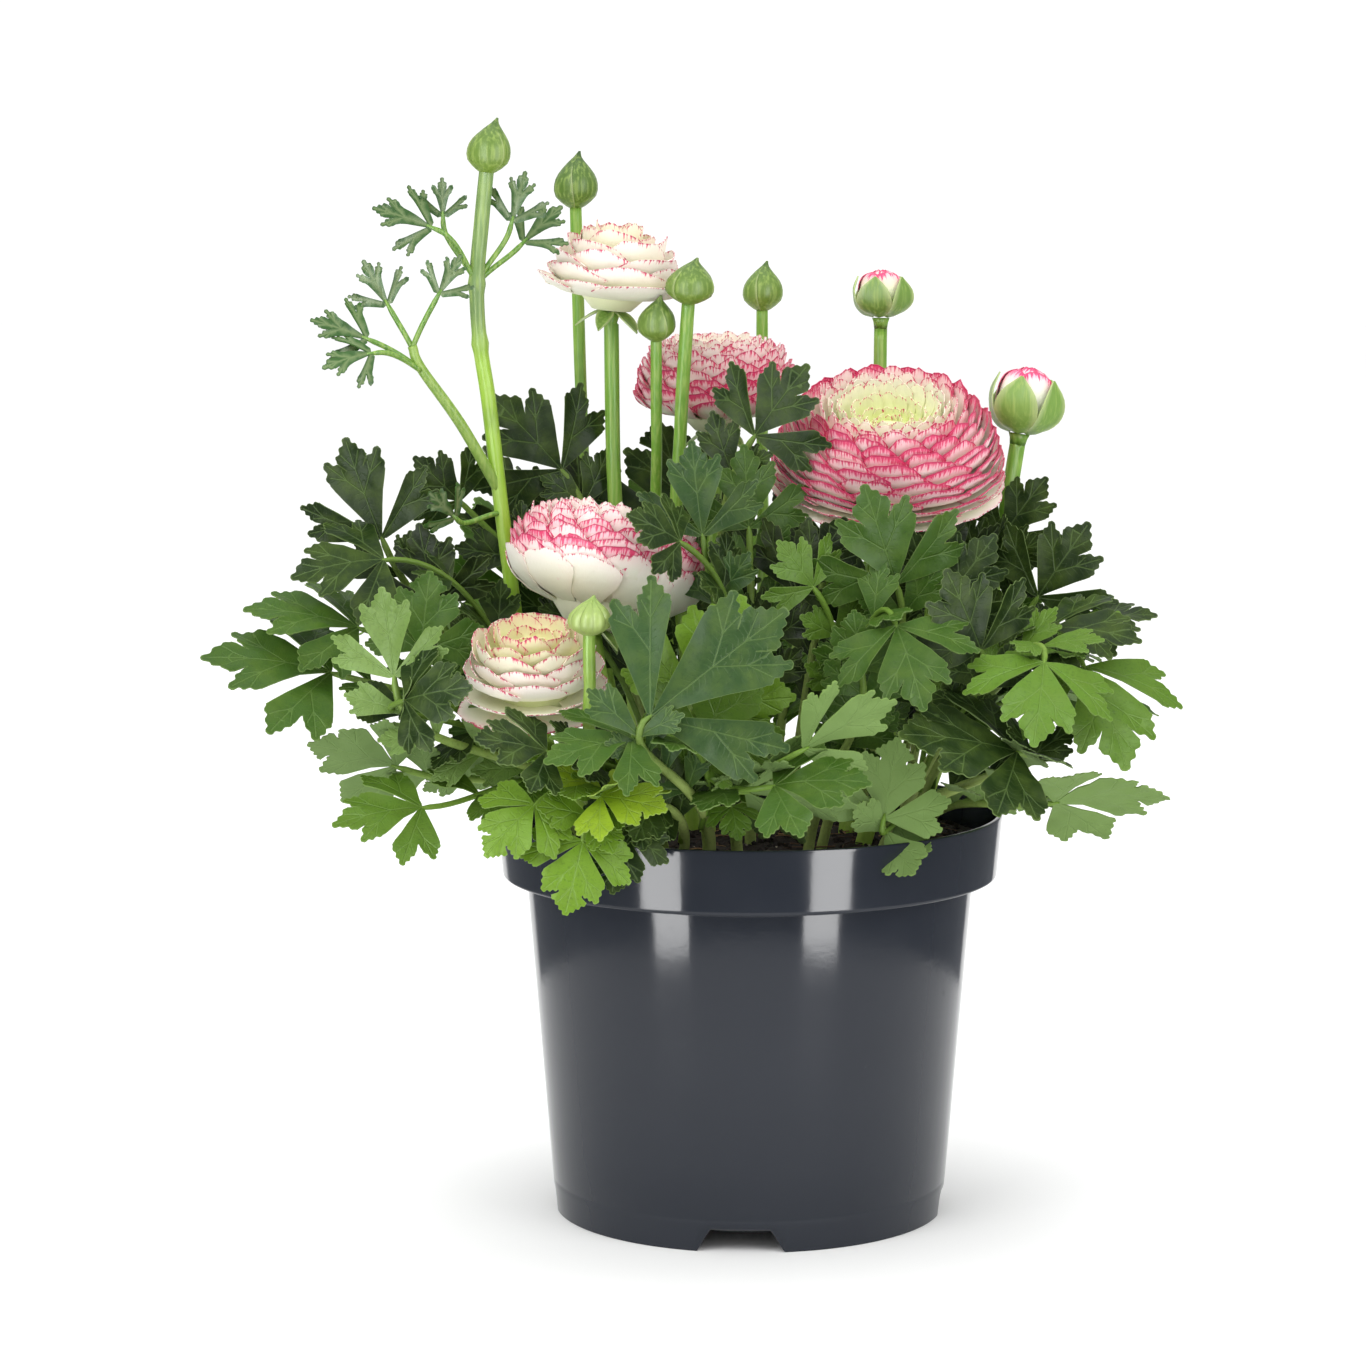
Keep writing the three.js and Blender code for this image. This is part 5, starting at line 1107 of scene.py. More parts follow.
def between_ribs(ribs):
    """Points half-way between ribs that part, so that no triangle lies on ribs alone."""
    points = []
    for start, end in ribs:
        for other in ribs:
            off = segment_distance(start[None], other[None])[0]
            if off > 0.01 or np.linalg.norm(other[1] - start) < 1 or np.allclose(end, other[1]):
                continue
            middle = unit(unit(end - start) + unit(other[1] - start) + TINY)
            points += [start + reach * middle for reach in PARTING_REACHES]
    return np.array(points).reshape(-1, 2)


def inner_points(outline, ribs, generator):
    """Points close inside the outline, between its ribs and in rows all over it."""
    tangent = np.roll(outline, -1, axis=0) - np.roll(outline, 1, axis=0)
    inward = np.column_stack([-tangent[:, 1], tangent[:, 0]])
    inward /= np.linalg.norm(inward, axis=1)[:, None] + TINY
    inset = (outline + inward * INSET)[::2]
    low, high = outline.min(0), outline.max(0)
    x, y = np.meshgrid(np.arange(low[0], high[0], POINT_SPACING),
                       np.arange(low[1], high[1], POINT_SPACING * ROW_SPACING))
    x[::2] += POINT_SPACING / 2
    field = np.column_stack([x.ravel(), y.ravel()])
    field += generator.uniform(-POINT_SCATTER, POINT_SCATTER, field.shape)
    parting = between_ribs(ribs)
    counts = (len(inset), len(parting), len(field))
    points = np.vstack([inset, parting, field])
    clear = segment_distance(points, edges_of(outline)) > np.repeat(EDGE_GAPS, counts) * INSET
    clear &= segment_distance(points, ribs) > np.repeat(RIB_GAPS, counts)
    return points[is_inside(points, outline) & clear]


def fill_outline(outline, ribs, generator):
    """Triangles inside an outline, with points along its ribs, and the outline's place among them."""
    points = [*outline, *inner_points(outline, ribs, generator)]
    edges = []
    for start, end in ribs:
        count = max(2, int(np.linalg.norm(end - start) / RIB_SPACING) + 1)
        line = start + (end - start) * np.linspace(0, 1, count)[:, None]
        inside = is_inside(line, outline) & (segment_distance(line, edges_of(outline)) > RIB_END_GAP)
        previous = None
        for point, good in zip(line, inside):
            if good:
                points.append(point)
                if previous is not None:
                    edges.append((previous, len(points) - 1))
                previous = len(points) - 1
    rim = [list(range(len(outline)))]
    result = delaunay_2d_cdt([Vector(point) for point in points], edges, rim, 1, 1e-5)
    flat = np.array([tuple(point) for point in result[0]])
    triangles = np.array([face for face in result[2] if len(face) == 3])
    order = np.linalg.norm(outline[:, None] - flat[None], axis=2).argmin(1)
    return flat, triangles, order


def leaf_frame(hub, tip, face, bend):
    """The solid leaf's frame: its hub, and axes along it, across it and out of its upper side."""
    hub, tip, face = (np.array(value, float) for value in (hub, tip, face))
    span = np.linalg.norm(tip - hub)
    chord = (tip - hub) / span
    up = unit(face - face.dot(chord) * chord)
    across = np.cross(up, chord)
    half = bend / 2
    along = chord * math.cos(half) + up * math.sin(half)
    out = up * math.cos(half) - chord * math.sin(half)
    return dict(hub=hub, along=along, across=across, out=out, length=span * half / math.sin(half))


def bend_points(flat, lift, leaf, bend):
    """Places of flat points on the bent leaf, and the normals of its upper side there."""
    arc = leaf["length"] / bend
    radius = np.hypot(flat[:, 0], flat[:, 1])
    angle = (radius / arc)[:, None]
    heading = flat / np.maximum(radius, TINY)[:, None]
    direction = heading[:, :1] * leaf["along"] + heading[:, 1:] * leaf["across"]
    normal = leaf["out"] * np.cos(angle) + direction * np.sin(angle)
    point = leaf["hub"] + direction * arc * np.sin(angle) - leaf["out"] * arc * (1 - np.cos(angle))
    return point + normal * lift[:, None], normal


def stalk_curve(leaf, foot, bow):
    """Control points of a leaf's stalk, from the leaf down to its foot."""
    end = leaf["hub"] - leaf["along"] * STALK_GAP
    reach = np.linalg.norm(end - foot)
    flat = (end - foot) * [1, 1, 0]
    out = unit(flat)
    sideways = np.array([-out[1], out[0], 0])
    rise = foot + out * STALK_SPREAD * reach + sideways * bow + UP * STALK_RISE * reach
    fall = end - leaf["along"] * STALK_FALL * reach + sideways * bow
    return end, fall, rise, foot


def add_wall(skin, front, back, rim, **values):
    """The wall between the rims of a thin form's two faces, with the values of the rim's points."""
    faces = grid_quads(2, len(rim), closed=True)
    picked = {name: np.concatenate([value[rim], value[rim]]) if np.size(value) > 3 else value
              for name, value in values.items()}
    skin.add(np.vstack([front[rim], back[rim]]), faces, **picked)


def add_blade(skin, flat, triangles, order, lift, leaf, bend, **values):
    """Both faces of a leaflet and the wall along its outline."""
    points, normals = bend_points(flat, lift, leaf, bend)
    half = normals * FINE_BLADE / 2
    skin.add(points + half, triangles, under=0.0, **values)
    skin.add(points - half, triangles[:, ::-1], under=1.0, **values)
    add_wall(skin, points - half, points + half, order, under=0.5, **values)


def add_leaf(skin, form_name, leaf, bend, tint, generator):
    """The three leaflets of a leaf."""
    form = LEAF_FORMS[form_name]
    fan_turn, length = form["fan"], leaf["length"]
    neck_turns = (-NECK_TURN, -fan_turn / 2, fan_turn / 2, NECK_TURN)
    necks = [polar((0, 0), NECK_RADIUS, turn) for turn in neck_turns]
    side = form["reach"] * length
    leaflets = ((-fan_turn, side), (0, length), (fan_turn, side))
    for k, ((turn, size), row) in enumerate(zip(leaflets, FULL_LOBES)):
        add_leaflet(skin, form, size, turn, row, necks[k:k + 2], leaf, bend, tint, generator)


def add_leaflet(skin, form, size, turn, row, necks, leaf, bend, tint, generator):
    """One lobed leaflet that grows from between two neck points of the leaf's plan."""
    outline, ribs = leaflet_plan(form, size, turn, row, *necks)
    outline = cut_corners(outline)
    flat, triangles, order = fill_outline(outline, ribs, generator)
    along = np.hypot(*(flat - polar((0, 0), form["hub"] * size, turn)).T)
    # The blade folds up from the ribs that lead to the hub and to the lobes' tips
    lobe_rib = segment_distance(flat, ribs[[0, *range(1, 3 * len(row), 3)]])
    width = form["width"] * (1 - form["hub"]) * size
    fold = smooth(lobe_rib / (1.7 * width)) * EDGE_LIFT * leaf["length"]
    phase = generator.uniform(0, FULL_TURN, 2)
    wave = LEAF_WAVE * np.sin(flat[:, 0] * 0.42 + phase[0]) * np.sin(flat[:, 1] * 0.5 + phase[1])
    lift = fold + wave * np.clip(lobe_rib / 3, 0, 1) * min(1, size / 30)
    add_blade(skin, flat, triangles, order, lift, leaf, bend, rib=segment_distance(flat, ribs), along=along,
              edge=segment_distance(flat, edges_of(outline)), tint=tint * generator.uniform(0.9, 1.1),
              stalk=0.0)


def add_stalk_leaflets(skin, form, leaf, path, places, tint, generator):
    """Pairs of small leaflets on the upper part of a stalk, whose path runs from the hub down."""
    for place in places:
        index = round(place * (len(path) - 2))
        foot = path[index]
        if foot[2] < LEAFLET_LEVEL:
            continue
        along = unit(path[index - 1] - path[index + 1])
        across = unit(np.cross(leaf["out"], along))
        for side in (-1, 1):
            size = generator.uniform(*LEAFLET_SIZE)
            sway, rise = generator.uniform(0.5, 1.1), generator.uniform(0, 0.5)
            heading = unit(sway * along + side * across + rise * UP)
            tip = foot + (1 + size) * heading
            small = leaf_frame(foot + heading, tip, leaf["out"] + 0.3 * UP, LEAFLET_BEND)
            necks = [polar((0, 0), LEAFLET_NECK_RADIUS, turn) for turn in (-NECK_TURN, NECK_TURN)]
            add_leaflet(skin, form, size, 0, FULL_LOBES[1], necks, small, LEAFLET_BEND, tint, generator)


def add_stalk(skin, path, radii, tint, foot_tint):
    """A round stalk with a shallow groove, paler towards its foot."""
    tints = fade(tint, foot_tint, np.linspace(0, 1, len(path))[:, None])
    add_tube(skin, path, radii, STALK_SIDES, 0.06, 2, rib=9.0, along=1.25, edge=9.0, under=0.0, stalk=1.0,
             tint=tints)


def root_pattern():
    """Places in the soil where a stem or a spray may stand."""
    places = []
    rows = math.ceil(ROOT_REACH / (ROOT_SPACING * ROW_SPACING))
    for row in range(-rows, rows + 1):
        for column in range(-rows, rows + 1):
            x = ROOT_SPACING * (column + (0 if row % 2 == 0 else 0.5))
            y = ROOT_SPACING * ROW_SPACING * row
            if math.hypot(x, y) <= ROOT_REACH:
                places.append((x, y))
    return places


def take_root(places, point, share):
    """Takes the free place nearest to a share of the way out to a point."""
    x, y = share * point[0], share * point[1]
    distances = [math.hypot(place[0] - x, place[1] - y) for place in places]
    return places.pop(distances.index(min(distances)))


def back_spray_leaves(row, tone_name, draw):
    """Leaf rows of a spray of the back, drawn as the solids draw them."""
    bearing, reach, height, habits = row

    def between(low, high):
        return low + (high - low) * draw()

    leaves = []
    for i, habit_name in enumerate(habits):
        habit = BACK_HABITS[habit_name]
        side = 2 * i - 1 if len(habits) > 1 else 0
        angle = math.radians(bearing + side * BACK_LEAF_SPREAD)
        out = np.array([math.cos(angle), math.sin(angle), 0])
        hub_reach = reach - BACK_LEAF_INSET * i + between(-BACK_LEAF_SCATTER, BACK_LEAF_SCATTER)
        hub_height = height + BACK_LEAF_STEP * i + between(-BACK_LEAF_SCATTER, BACK_LEAF_SCATTER)
        hub = hub_reach * out + hub_height * UP
        length = between(*BACK_LEAF_LENGTH)
        tip = hub + length * habit["outward"] * out + habit["climb"] * length * UP
        face = habit["face_outward"] * out + habit["face_up"] * UP
        form = "cut" if draw() < BACK_CUT_SHARE else "round"
        leaves.append((form, tuple(hub), tuple(tip), tuple(face), between(*BACK_LEAF_BEND), tone_name))
    return leaves


def spin_matrix(axis, degrees):
    angle = math.radians(degrees)
    x, y, z = axis
    cross = np.array([[0, -z, y], [z, 0, -x], [-y, x, 0]])
    return np.eye(3) + math.sin(angle) * cross + (1 - math.cos(angle)) * cross @ cross


def spray_rotation(root, turn, lean):
    """A spray's turn about the upright axis and its lean towards the pot's middle."""
    sideways = np.array([-root[1], root[0], 0.0])
    sideways = unit(sideways) if np.linalg.norm(sideways) >= 1 else np.array([1.0, 0, 0])
    return spin_matrix(sideways, -lean) @ spin_matrix(UP, turn)


def node_points(name):
    """Points of a solid's mesh."""
    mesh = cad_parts[name].data
    points = np.empty(3 * len(mesh.vertices))
    mesh.vertices.foreach_get("co", points)
    return points.reshape(-1, 3) / MM


def local_leaves(leaves, root):
    """Leaf rows as frames that start at the spray's root."""
    return [(form, leaf_frame(np.subtract(hub, root), np.subtract(tip, root), face, bend), bend, name)
            for form, hub, tip, face, bend, name in leaves]


def spray_bend(name, leaves, root):
    """The turn, lean and bow that the solid took, found by where its tips and its stalk are."""
    points = node_points(name) - root
    tips = []
    for _, leaf, bend, _ in leaves:
        tip, normal = bend_points(np.array([[leaf["length"], 0.0]]), np.zeros(1), leaf, bend)
        tips.append((tip + normal * BLADE / 2)[0])
    tips = np.array(tips)

    def miss(turn, lean):
        moved = tips @ spray_rotation(root, turn, lean).T
        return max(np.linalg.norm(points - tip, axis=1).min() for tip in moved)

    turn, lean = min(((t, l) for l in LEANS for t in TURNS), key=lambda pair: miss(*pair))
    rotation = spray_rotation(root, turn, lean)
    def stalk_miss(bow):
        place = bezier(stalk_curve(leaves[0][1], np.zeros(3), bow), STALK_STEPS)[1] @ rotation.T
        nearest = np.sort(np.linalg.norm(points - place, axis=1))[:4]
        return abs(nearest - SOLID_STALK_RADIUS).sum()

    return rotation, min(BOWS, key=stalk_miss)


def make_spray(material, name, leaves, root, generator):
    """A spray: its main stalk, the branches from it, their leaves and small leaflets."""
    root = np.array([*root, SOIL_TOP])
    rows = local_leaves(leaves, root)
    rotation, bow = spray_bend(name, rows, root)
    skin = Skin(name + "_piece")
    foot = np.zeros(3)
    for i, (form, leaf, bend, tone_name) in enumerate(rows):
        is_main = i == 0
        tint = colour(tone_name)
        curve = stalk_curve(leaf, foot, bow)
        neck = leaf["hub"] + leaf["along"] * 2.2 - leaf["out"] * 0.5
        path = np.vstack([neck, leaf["hub"] - leaf["out"] * 0.35, bezier(curve, FINE_STALK_STEPS)])
        radii = np.full(len(path), BRANCH_RADIUS)
        stalk_tint = fade(colour("leaf stalk"), tint, 0.45)
        foot_tint = stalk_tint
        if is_main:
            coarse = bezier(curve, STALK_STEPS)
            foot = coarse[-2] + (coarse[-1] - coarse[-2]) * BRANCH_AT
            radii = np.linspace(STALK_END_RADIUS, STALK_FOOT_RADIUS, len(path))
            path = np.vstack([path, UP * (CLEARANCE - HOLE_DEPTH)])
            radii = np.append(radii, STALK_FOOT_RADIUS)
            foot_tint = colour("leaf stalk foot")
        radii[:2] = STALK_TIP_RADII
        add_stalk(skin, path, radii, stalk_tint, foot_tint)
        add_leaf(skin, form, leaf, bend, tint, generator)
        places = MAIN_LEAFLETS if is_main else BRANCH_LEAFLETS
        add_stalk_leaflets(skin, LEAF_FORMS[form], leaf, path, places, tint, generator)
    skin.points = [part @ rotation.T + root for part in skin.points]
    skin.build(material, "leaf", name)


def stem_tints(path, name):
    """Fresh green that turns yellower low down. The tall stem is greyish green above its side shoot."""
    if name == "stem_bud_tall":
        share = smooth((path[:, 2:] - TALL_FADE_LEVEL) / TALL_FADE)
        return fade(colour("tall stem low"), colour("tall stem high"), share)
    return fade(colour("stem low"), colour("stem high"), smooth((path[:, 2:] - SOIL_TOP) / STEM_FADE))


def sheet(skin, rows, columns, place, thickness, **values):
    """Both faces and the wall of a thin sheet whose middle surface is given as a grid."""
    place = place.reshape(rows, columns, 3)
    normal = np.cross(np.gradient(place, axis=1), np.gradient(place, axis=0))
    normal /= np.linalg.norm(normal, axis=2)[..., None] + TINY
    quads = grid_quads(rows, columns)
    front = (place + normal * thickness / 2).reshape(-1, 3)
    back = (place - normal * thickness / 2).reshape(-1, 3)
    skin.add(front, quads[:, ::-1], **values)
    skin.add(back, quads, **values)
    index = np.arange(rows * columns).reshape(rows, columns)
    rim = np.concatenate([index[0], index[1:, -1], index[-1, -2::-1], index[-2:0:-1, 0]])
    add_wall(skin, front, back, rim, **values)


def profile_at(profile, share):
    """Radius and height along a smooth curve through the profile's points."""
    curve = catmull_rom(profile, PROFILE_STEPS)
    index = np.linspace(0, 1, PROFILE_STEPS + 1)
    return np.interp(share, index, curve[:, 0]), np.interp(share, index, curve[:, 1])


def add_bud(skin, base, axis, size, look, generator):
    """A closed bud: ridged sepals wrapped round each other, each with a pale edge."""
    radius, height = size
    tint, tip_tint, sepals, spread, swell = look
    rotation = rotation_to(axis)
    t = np.linspace(0, 1, BUD_ROWS)
    turn = generator.uniform(0, FULL_TURN)
    for i in range(sepals):
        grid_t, grid_s = np.meshgrid(t, BUD_COLUMNS, indexing="ij")
        reach, level = profile_at(BUD_PROFILE, grid_t)
        half = spread * FULL_TURN / sepals * (1.12 - 0.5 * grid_t**3)
        angle = turn + FULL_TURN * i / sepals + grid_s * half
        ridges = 0.012 * np.cos(grid_s * 14) * (1 - grid_t)
        bulge = 1 + ridges + 0.045 * grid_s + swell * (1 - grid_s**2)
        top = level * height * (1 - 0.05 * grid_s**2 * grid_t**2)
        place = around(radius * reach * bulge * 0.95, angle, top)
        place[..., 0] += 0.24 * radius * grid_t**3
        pale = np.clip(1 - (1 - np.abs(grid_s)).ravel() / 0.08, 0, 1) * 0.4
        tints = fade(colour(tint), colour(tip_tint), grid_t.reshape(-1, 1))
        sheet(skin, *grid_t.shape, place @ rotation.T + base, SEPAL_THICKNESS, tint=tints, pale=pale,
              blade=BUD_SMOOTHNESS)


def add_sepal(skin, base, rotation, bearing, rows, tint, generator):
    """One sepal: radius, height and half width along its middle line, and a fold along it."""
    curve = catmull_rom(rows, SEPAL_STEPS)
    s = np.array(SEPAL_COLUMNS)
    radial, height, half = (curve[:, k][:, None] * np.ones(len(s)) for k in range(3))
    side = np.maximum(half, 0.05) * s
    wave = generator.uniform(-0.4, 0.4)
    lift = 0.28 * np.abs(side) + wave * np.sin(np.linspace(0, 3, len(curve)))[:, None] * np.abs(s)
    outward = np.array([math.cos(bearing), math.sin(bearing), 0])
    sideways = np.array([-outward[1], outward[0], 0])
    place = radial[..., None] * outward + side[..., None] * sideways + (height + lift)[..., None] * UP
    pale = (np.clip(np.abs(s) - 0.7, 0, 1) * 1.6 * np.ones((len(curve), 1))).ravel()
    sheet(skin, len(curve), len(s), place @ rotation.T + base, SEPAL_THICKNESS, tint=tint, pale=pale,
          blade=BUD_SMOOTHNESS)


def add_calyx(skin, base, axis, bud, generator):
    """The sepals below a bloom or round the petals of an opening bud."""
    rows = BLOOM_SEPAL
    if bud:
        radius, height = bud
        rows = [(r * radius, z * height, w * radius) for r, z, w in CUP_SEPAL]
    for i in range(SEPAL_COUNT):
        tint = colour("sepal") * generator.uniform(0.85, 1.1)
        bearing = (i + 0.5) * FULL_TURN / SEPAL_COUNT
        add_sepal(skin, base, rotation_to(axis), bearing, rows, tint, generator)


def stem_parts(stem, root):
    """Fine path of a stem, the base of what it carries and its axis."""
    name, _, _, _, _, points = stem
    path = catmull_rom([(*root, SOIL_TOP), *points], 12 * len(points))
    steps = TALL_STEM_STEPS if name == "stem_bud_tall" else STEM_STEPS
    coarse = catmull_rom([(*root, SOIL_TOP), *points], steps)
    bloom = next((row for row in BLOOMS if row["stem"] == name), None)
    axis = unit(np.array(bloom["axis"])) if bloom else unit(coarse[-1] - coarse[-2])
    foot = np.array([[*root, SOIL_TOP - HOLE_DEPTH + CLEARANCE]])
    return np.vstack([foot, path]), path[-1].copy(), axis


def make_stem(materials, stem, root, generator):
    """A stem with its bud or its calyx. Gives the base and the axis of what it carries."""
    name, radius, kind, bud, _, _ = stem
    path, base, axis = stem_parts(stem, root)
    tints = stem_tints(path, name)
    radii = np.full(len(path), radius * STEM_FULLNESS)
    radii[:2] = STEM_FOOT_RADIUS
    radii[2:6] = np.linspace(STEM_FOOT_RADIUS, radius * STEM_FULLNESS, 4)
    skin = Skin(name + "_piece", blade=0.0)
    if kind != "bud":
        path = np.vstack([path[:-1], *(base - depth * axis for depth in CALYX_DEPTHS)])
        radii = np.append(radii, [radius * fullness for fullness in CALYX_FULLNESS])
        tints = np.vstack([tints, tints[-1:], tints[-1:]])
    if name == "stem_bud_tall":
        for level in TALL_RINGS:
            radii *= 1 + TALL_RING_SWELL * np.exp(-((path[:, 2] - level) / TALL_RING_WIDTH) ** 2)
    add_tube(skin, path, radii, STEM_SIDES, STEM_RIDGE, STEM_RIDGES, STEM_TWIST, tint=tints, pale=0.0)
    if kind == "bud":
        look = BUD_LOOKS.get(name, USUAL_BUD_LOOK)
        add_bud(skin, base - BUD_SINK * axis, axis, bud, look, generator)
    else:
        add_calyx(skin, base, axis, bud, generator)
    if name == "stem_bud_tall":
        add_tall_growth(skin, generator)
    skin.build(materials["stem"], "stem", name)
    return base, axis


def add_tall_growth(skin, generator):
    """The side shoot and the feathery leaves of the tall stem."""
    shoot = catmull_rom(SIDE_SHOOT, 24)
    radii = np.linspace(SIDE_SHOOT_RADIUS, 0.8 * SIDE_SHOOT_RADIUS, len(shoot)) * STEM_FULLNESS
    add_tube(skin, shoot, radii, 14, 0.05, 5, 0.8, tint=colour("side shoot"), pale=0.0)
    leaves = Skin("feather")
    for foot, hub, tip, face, bend in STEM_LEAVES:
        leaf = leaf_frame(hub, tip, face, bend)
        start = np.array(foot, float)
        end = leaf["hub"] - leaf["along"] * STALK_GAP
        reach = np.linalg.norm(end - start)
        rise = start + (end - start) * 0.3 + UP * 0.08 * reach
        fall = end - leaf["along"] * STALK_FALL * reach
        path = np.vstack([leaf["hub"] + leaf["along"] * 2, bezier((end, fall, rise, start), 12)])
        radii = np.append([0.5], np.full(len(path) - 1, 1.0))
        add_tube(skin, path, radii, 8, 0.05, 2, tint=colour("feather stalk"), pale=0.0)
        add_leaf(leaves, "feather", leaf, bend, colour("feather"), generator)
    merge_leaves(skin, leaves)


def merge_leaves(skin, leaves):
    """Adds blades to a stem's skin: their veins become its pale lines."""
    rib, under, tints = (np.concatenate(leaves.values[name]) for name in ("rib", "under", "tint"))
    tints = fade(tints, colour("feather under"), 0.4 * under[:, None])
    pale = np.clip(1 - rib / 0.5, 0, 1) * 0.2
    skin.add(np.concatenate(leaves.points), np.concatenate(leaves.triangles), tint=tints, pale=pale,
             blade=1.0)
    skin.add_more(np.concatenate(leaves.quads))


def petal_grid(curve, bearing, half_angle, shape, generator):
    """Grid of places of one petal. The curve gives radius and height from the root to the edge."""
    s = np.array(PETAL_COLUMNS)
    grid_t, grid_s = np.meshgrid(PETAL_ROWS, s, indexing="ij")
    phase = generator.uniform(0, FULL_TURN, 2)
    scallop = shape["scallop"] * (np.sin(5.2 * s + phase[0]) + 0.6 * np.sin(11 * s + phase[1]))
    end = 1 - shape["round"] * np.abs(s) ** 2.6 + scallop
    travel = grid_t * end
    width = np.interp(travel, *PETAL_WIDTHS)
    root, belly, edge = (np.array(point, float) for point in curve)
    u = travel[..., None]
    place = (1 - u) ** 2 * root + 2 * u * (1 - u) * belly + u * u * edge
    radius, height = place[..., 0], place[..., 1]
    curl = shape["curl"] * smooth((travel - 0.8) / 0.25)
    ruffle = shape["ruffle"] * np.sin(7 * grid_s + phase[1]) * smooth((travel - 0.55) / 0.45)
    radius = radius + curl + ruffle + shape["wrap"] * grid_s * smooth(travel / 0.4)
    angle = bearing + grid_s * half_angle * width
    points = around(radius, angle, height)
    length = np.linalg.norm(edge - root) * 1.1
    side = (1 - np.abs(grid_s)) * half_angle * width * np.maximum(radius, 1)
    edge_distance = np.minimum((end - travel) * length, side + (1 - travel) * 4)
    return points, edge_distance, travel, grid_s * half_angle * radius, travel * length


def add_petal(skin, petal, rotation, base, blush, green, generator):
    points, edge, travel, across, along = petal
    across = across.ravel() + generator.uniform(0, 50)
    green = np.clip(green + 0.35 * (1 - travel.ravel()), 0, 1)
    sheet(skin, *travel.shape, points @ rotation.T + base, PETAL_THICKNESS, edge=edge.ravel(),
          across=across, along=along.ravel(), blush=blush, green=green)


def core_radius(level):
    for (r0, z0), (r1, z1) in zip(CORE_PROFILE, CORE_PROFILE[1:]):
        if level <= z1 and z1 > z0:
            return r0 + (r1 - r0) * (level - z0) / (z1 - z0)
    return 0.0


def bloom_rings(bloom):
    """Finer rings between the solid's, and smaller ones in its middle."""
    shares, levels = np.array(bloom["rings"]).T
    last = len(shares) - 1
    rows = []
    for q in np.linspace(0, last, bloom["steps"]):
        rows.append((q / last, *(np.interp(q, np.arange(last + 1), row) for row in (shares, levels))))
    for depth, part, drop in MIDDLE_RINGS:
        rows.append((depth, shares[-1] * part, levels[-1] - drop * bloom["open"] / 4))
    return rows


def ring_curve(bloom, is_first, depth, share, level):
    """Radius and height of a ring's petals at their root, belly and edge."""
    inward, centre = min(1, depth), max(0, depth - 1) / MIDDLE_DEPTH
    root_level = ROOT_LOW + (ROOT_HIGH - ROOT_LOW) * inward
    root_radius = max(0.8, core_radius(root_level) * bloom["radius"] - ROOT_DEPTH) * (1 - 0.6 * centre)
    root = (root_radius, root_level * bloom["height"])
    edge = (share * bloom["radius"], level * bloom["height"])
    belly_radius = max(edge[0] + (0 if is_first else bloom["open"] * 0.4), root[0] + 3 * (1 - centre))
    return root, (belly_radius, root[1] + 0.25 * (edge[1] - root[1])), edge


def make_bloom(material, bloom, base, generator):
    """A bloom: rings of petals from the guard petals to its middle, and its core."""
    skin = Skin(bloom["name"] + "_piece")
    rotation = rotation_to(unit(np.array(bloom["axis"], float)))
    loose = bloom["loose"]
    scatter_reach = min(1, bloom["radius"] / 30) * (1 + 1.6 * loose)
    outer_count, inner_count = bloom["petals"]
    for k, (depth, share, level) in enumerate(bloom_rings(bloom)):
        inward, centre = min(1, depth), max(0, depth - 1) / MIDDLE_DEPTH
        root, belly, edge = ring_curve(bloom, k == 0, depth, share, level)
        count = round(outer_count + (inner_count - outer_count) * inward - 4 * centre)
        sector = FULL_TURN / count
        blush = np.interp(inward, BLUSH_DEPTHS, bloom["blush"]) * (1 - 0.5 * centre)
        green = bloom["green"] * smooth((depth - bloom["green_from"]) / GREEN_SPAN)
        shape = dict(scallop=0.018 + 0.012 * loose, round=0.2 + 0.16 * loose,
                     curl=1.1 * (1 - 0.5 * inward), ruffle=0.35, wrap=0.55 * (1 - 0.4 * inward))
        for i in range(count):
            bearing = (i + 0.5 * (k % 2) + 0.13 * k + generator.uniform(-0.12, 0.12)) * sector
            half = 0.5 * sector * bloom["spread"] * generator.uniform(0.92, 1.08)
            shift = generator.uniform(-0.7, 0.7, 2) * scatter_reach
            curve = (root, (belly[0] + 0.5 * shift[0], belly[1]), (edge[0] + shift[0], edge[1] + shift[1]))
            petal = petal_grid(curve, bearing, half, shape, generator)
            strength = np.clip(blush * generator.uniform(0.7, 1.2), 0, 1)
            add_petal(skin, petal, rotation, base, strength, green, generator)
    add_core(skin, bloom, rotation, base)
    skin.build(material, "petal", bloom["name"])


def add_core(skin, bloom, rotation, base):
    """The smaller dense middle that the petals stand on."""
    radius, height = bloom["radius"], bloom["height"]
    angles = turns(CORE_SIDES)
    rings = [around(0.93 * share * radius, angles, level * height) for share, level in CORE_PROFILE[1:-1]]
    rings[0][:, 2] = CLEARANCE
    points = np.vstack([[[0, 0, CLEARANCE]], *rings, [[0, 0, CORE_PROFILE[-1][1] * height]]])
    quads = grid_quads(len(rings), CORE_SIDES, closed=True) + 1
    skin.add(points @ rotation.T + base, quads, edge=9.0, across=0.0, along=1.0, blush=0.0,
             green=0.25 + 0.7 * bloom["green"])
    last = len(points) - 1
    skin.add_more(fan(0, np.arange(1, CORE_SIDES + 1), flip=True))
    skin.add_more(fan(last, np.arange(last - CORE_SIDES, last)))


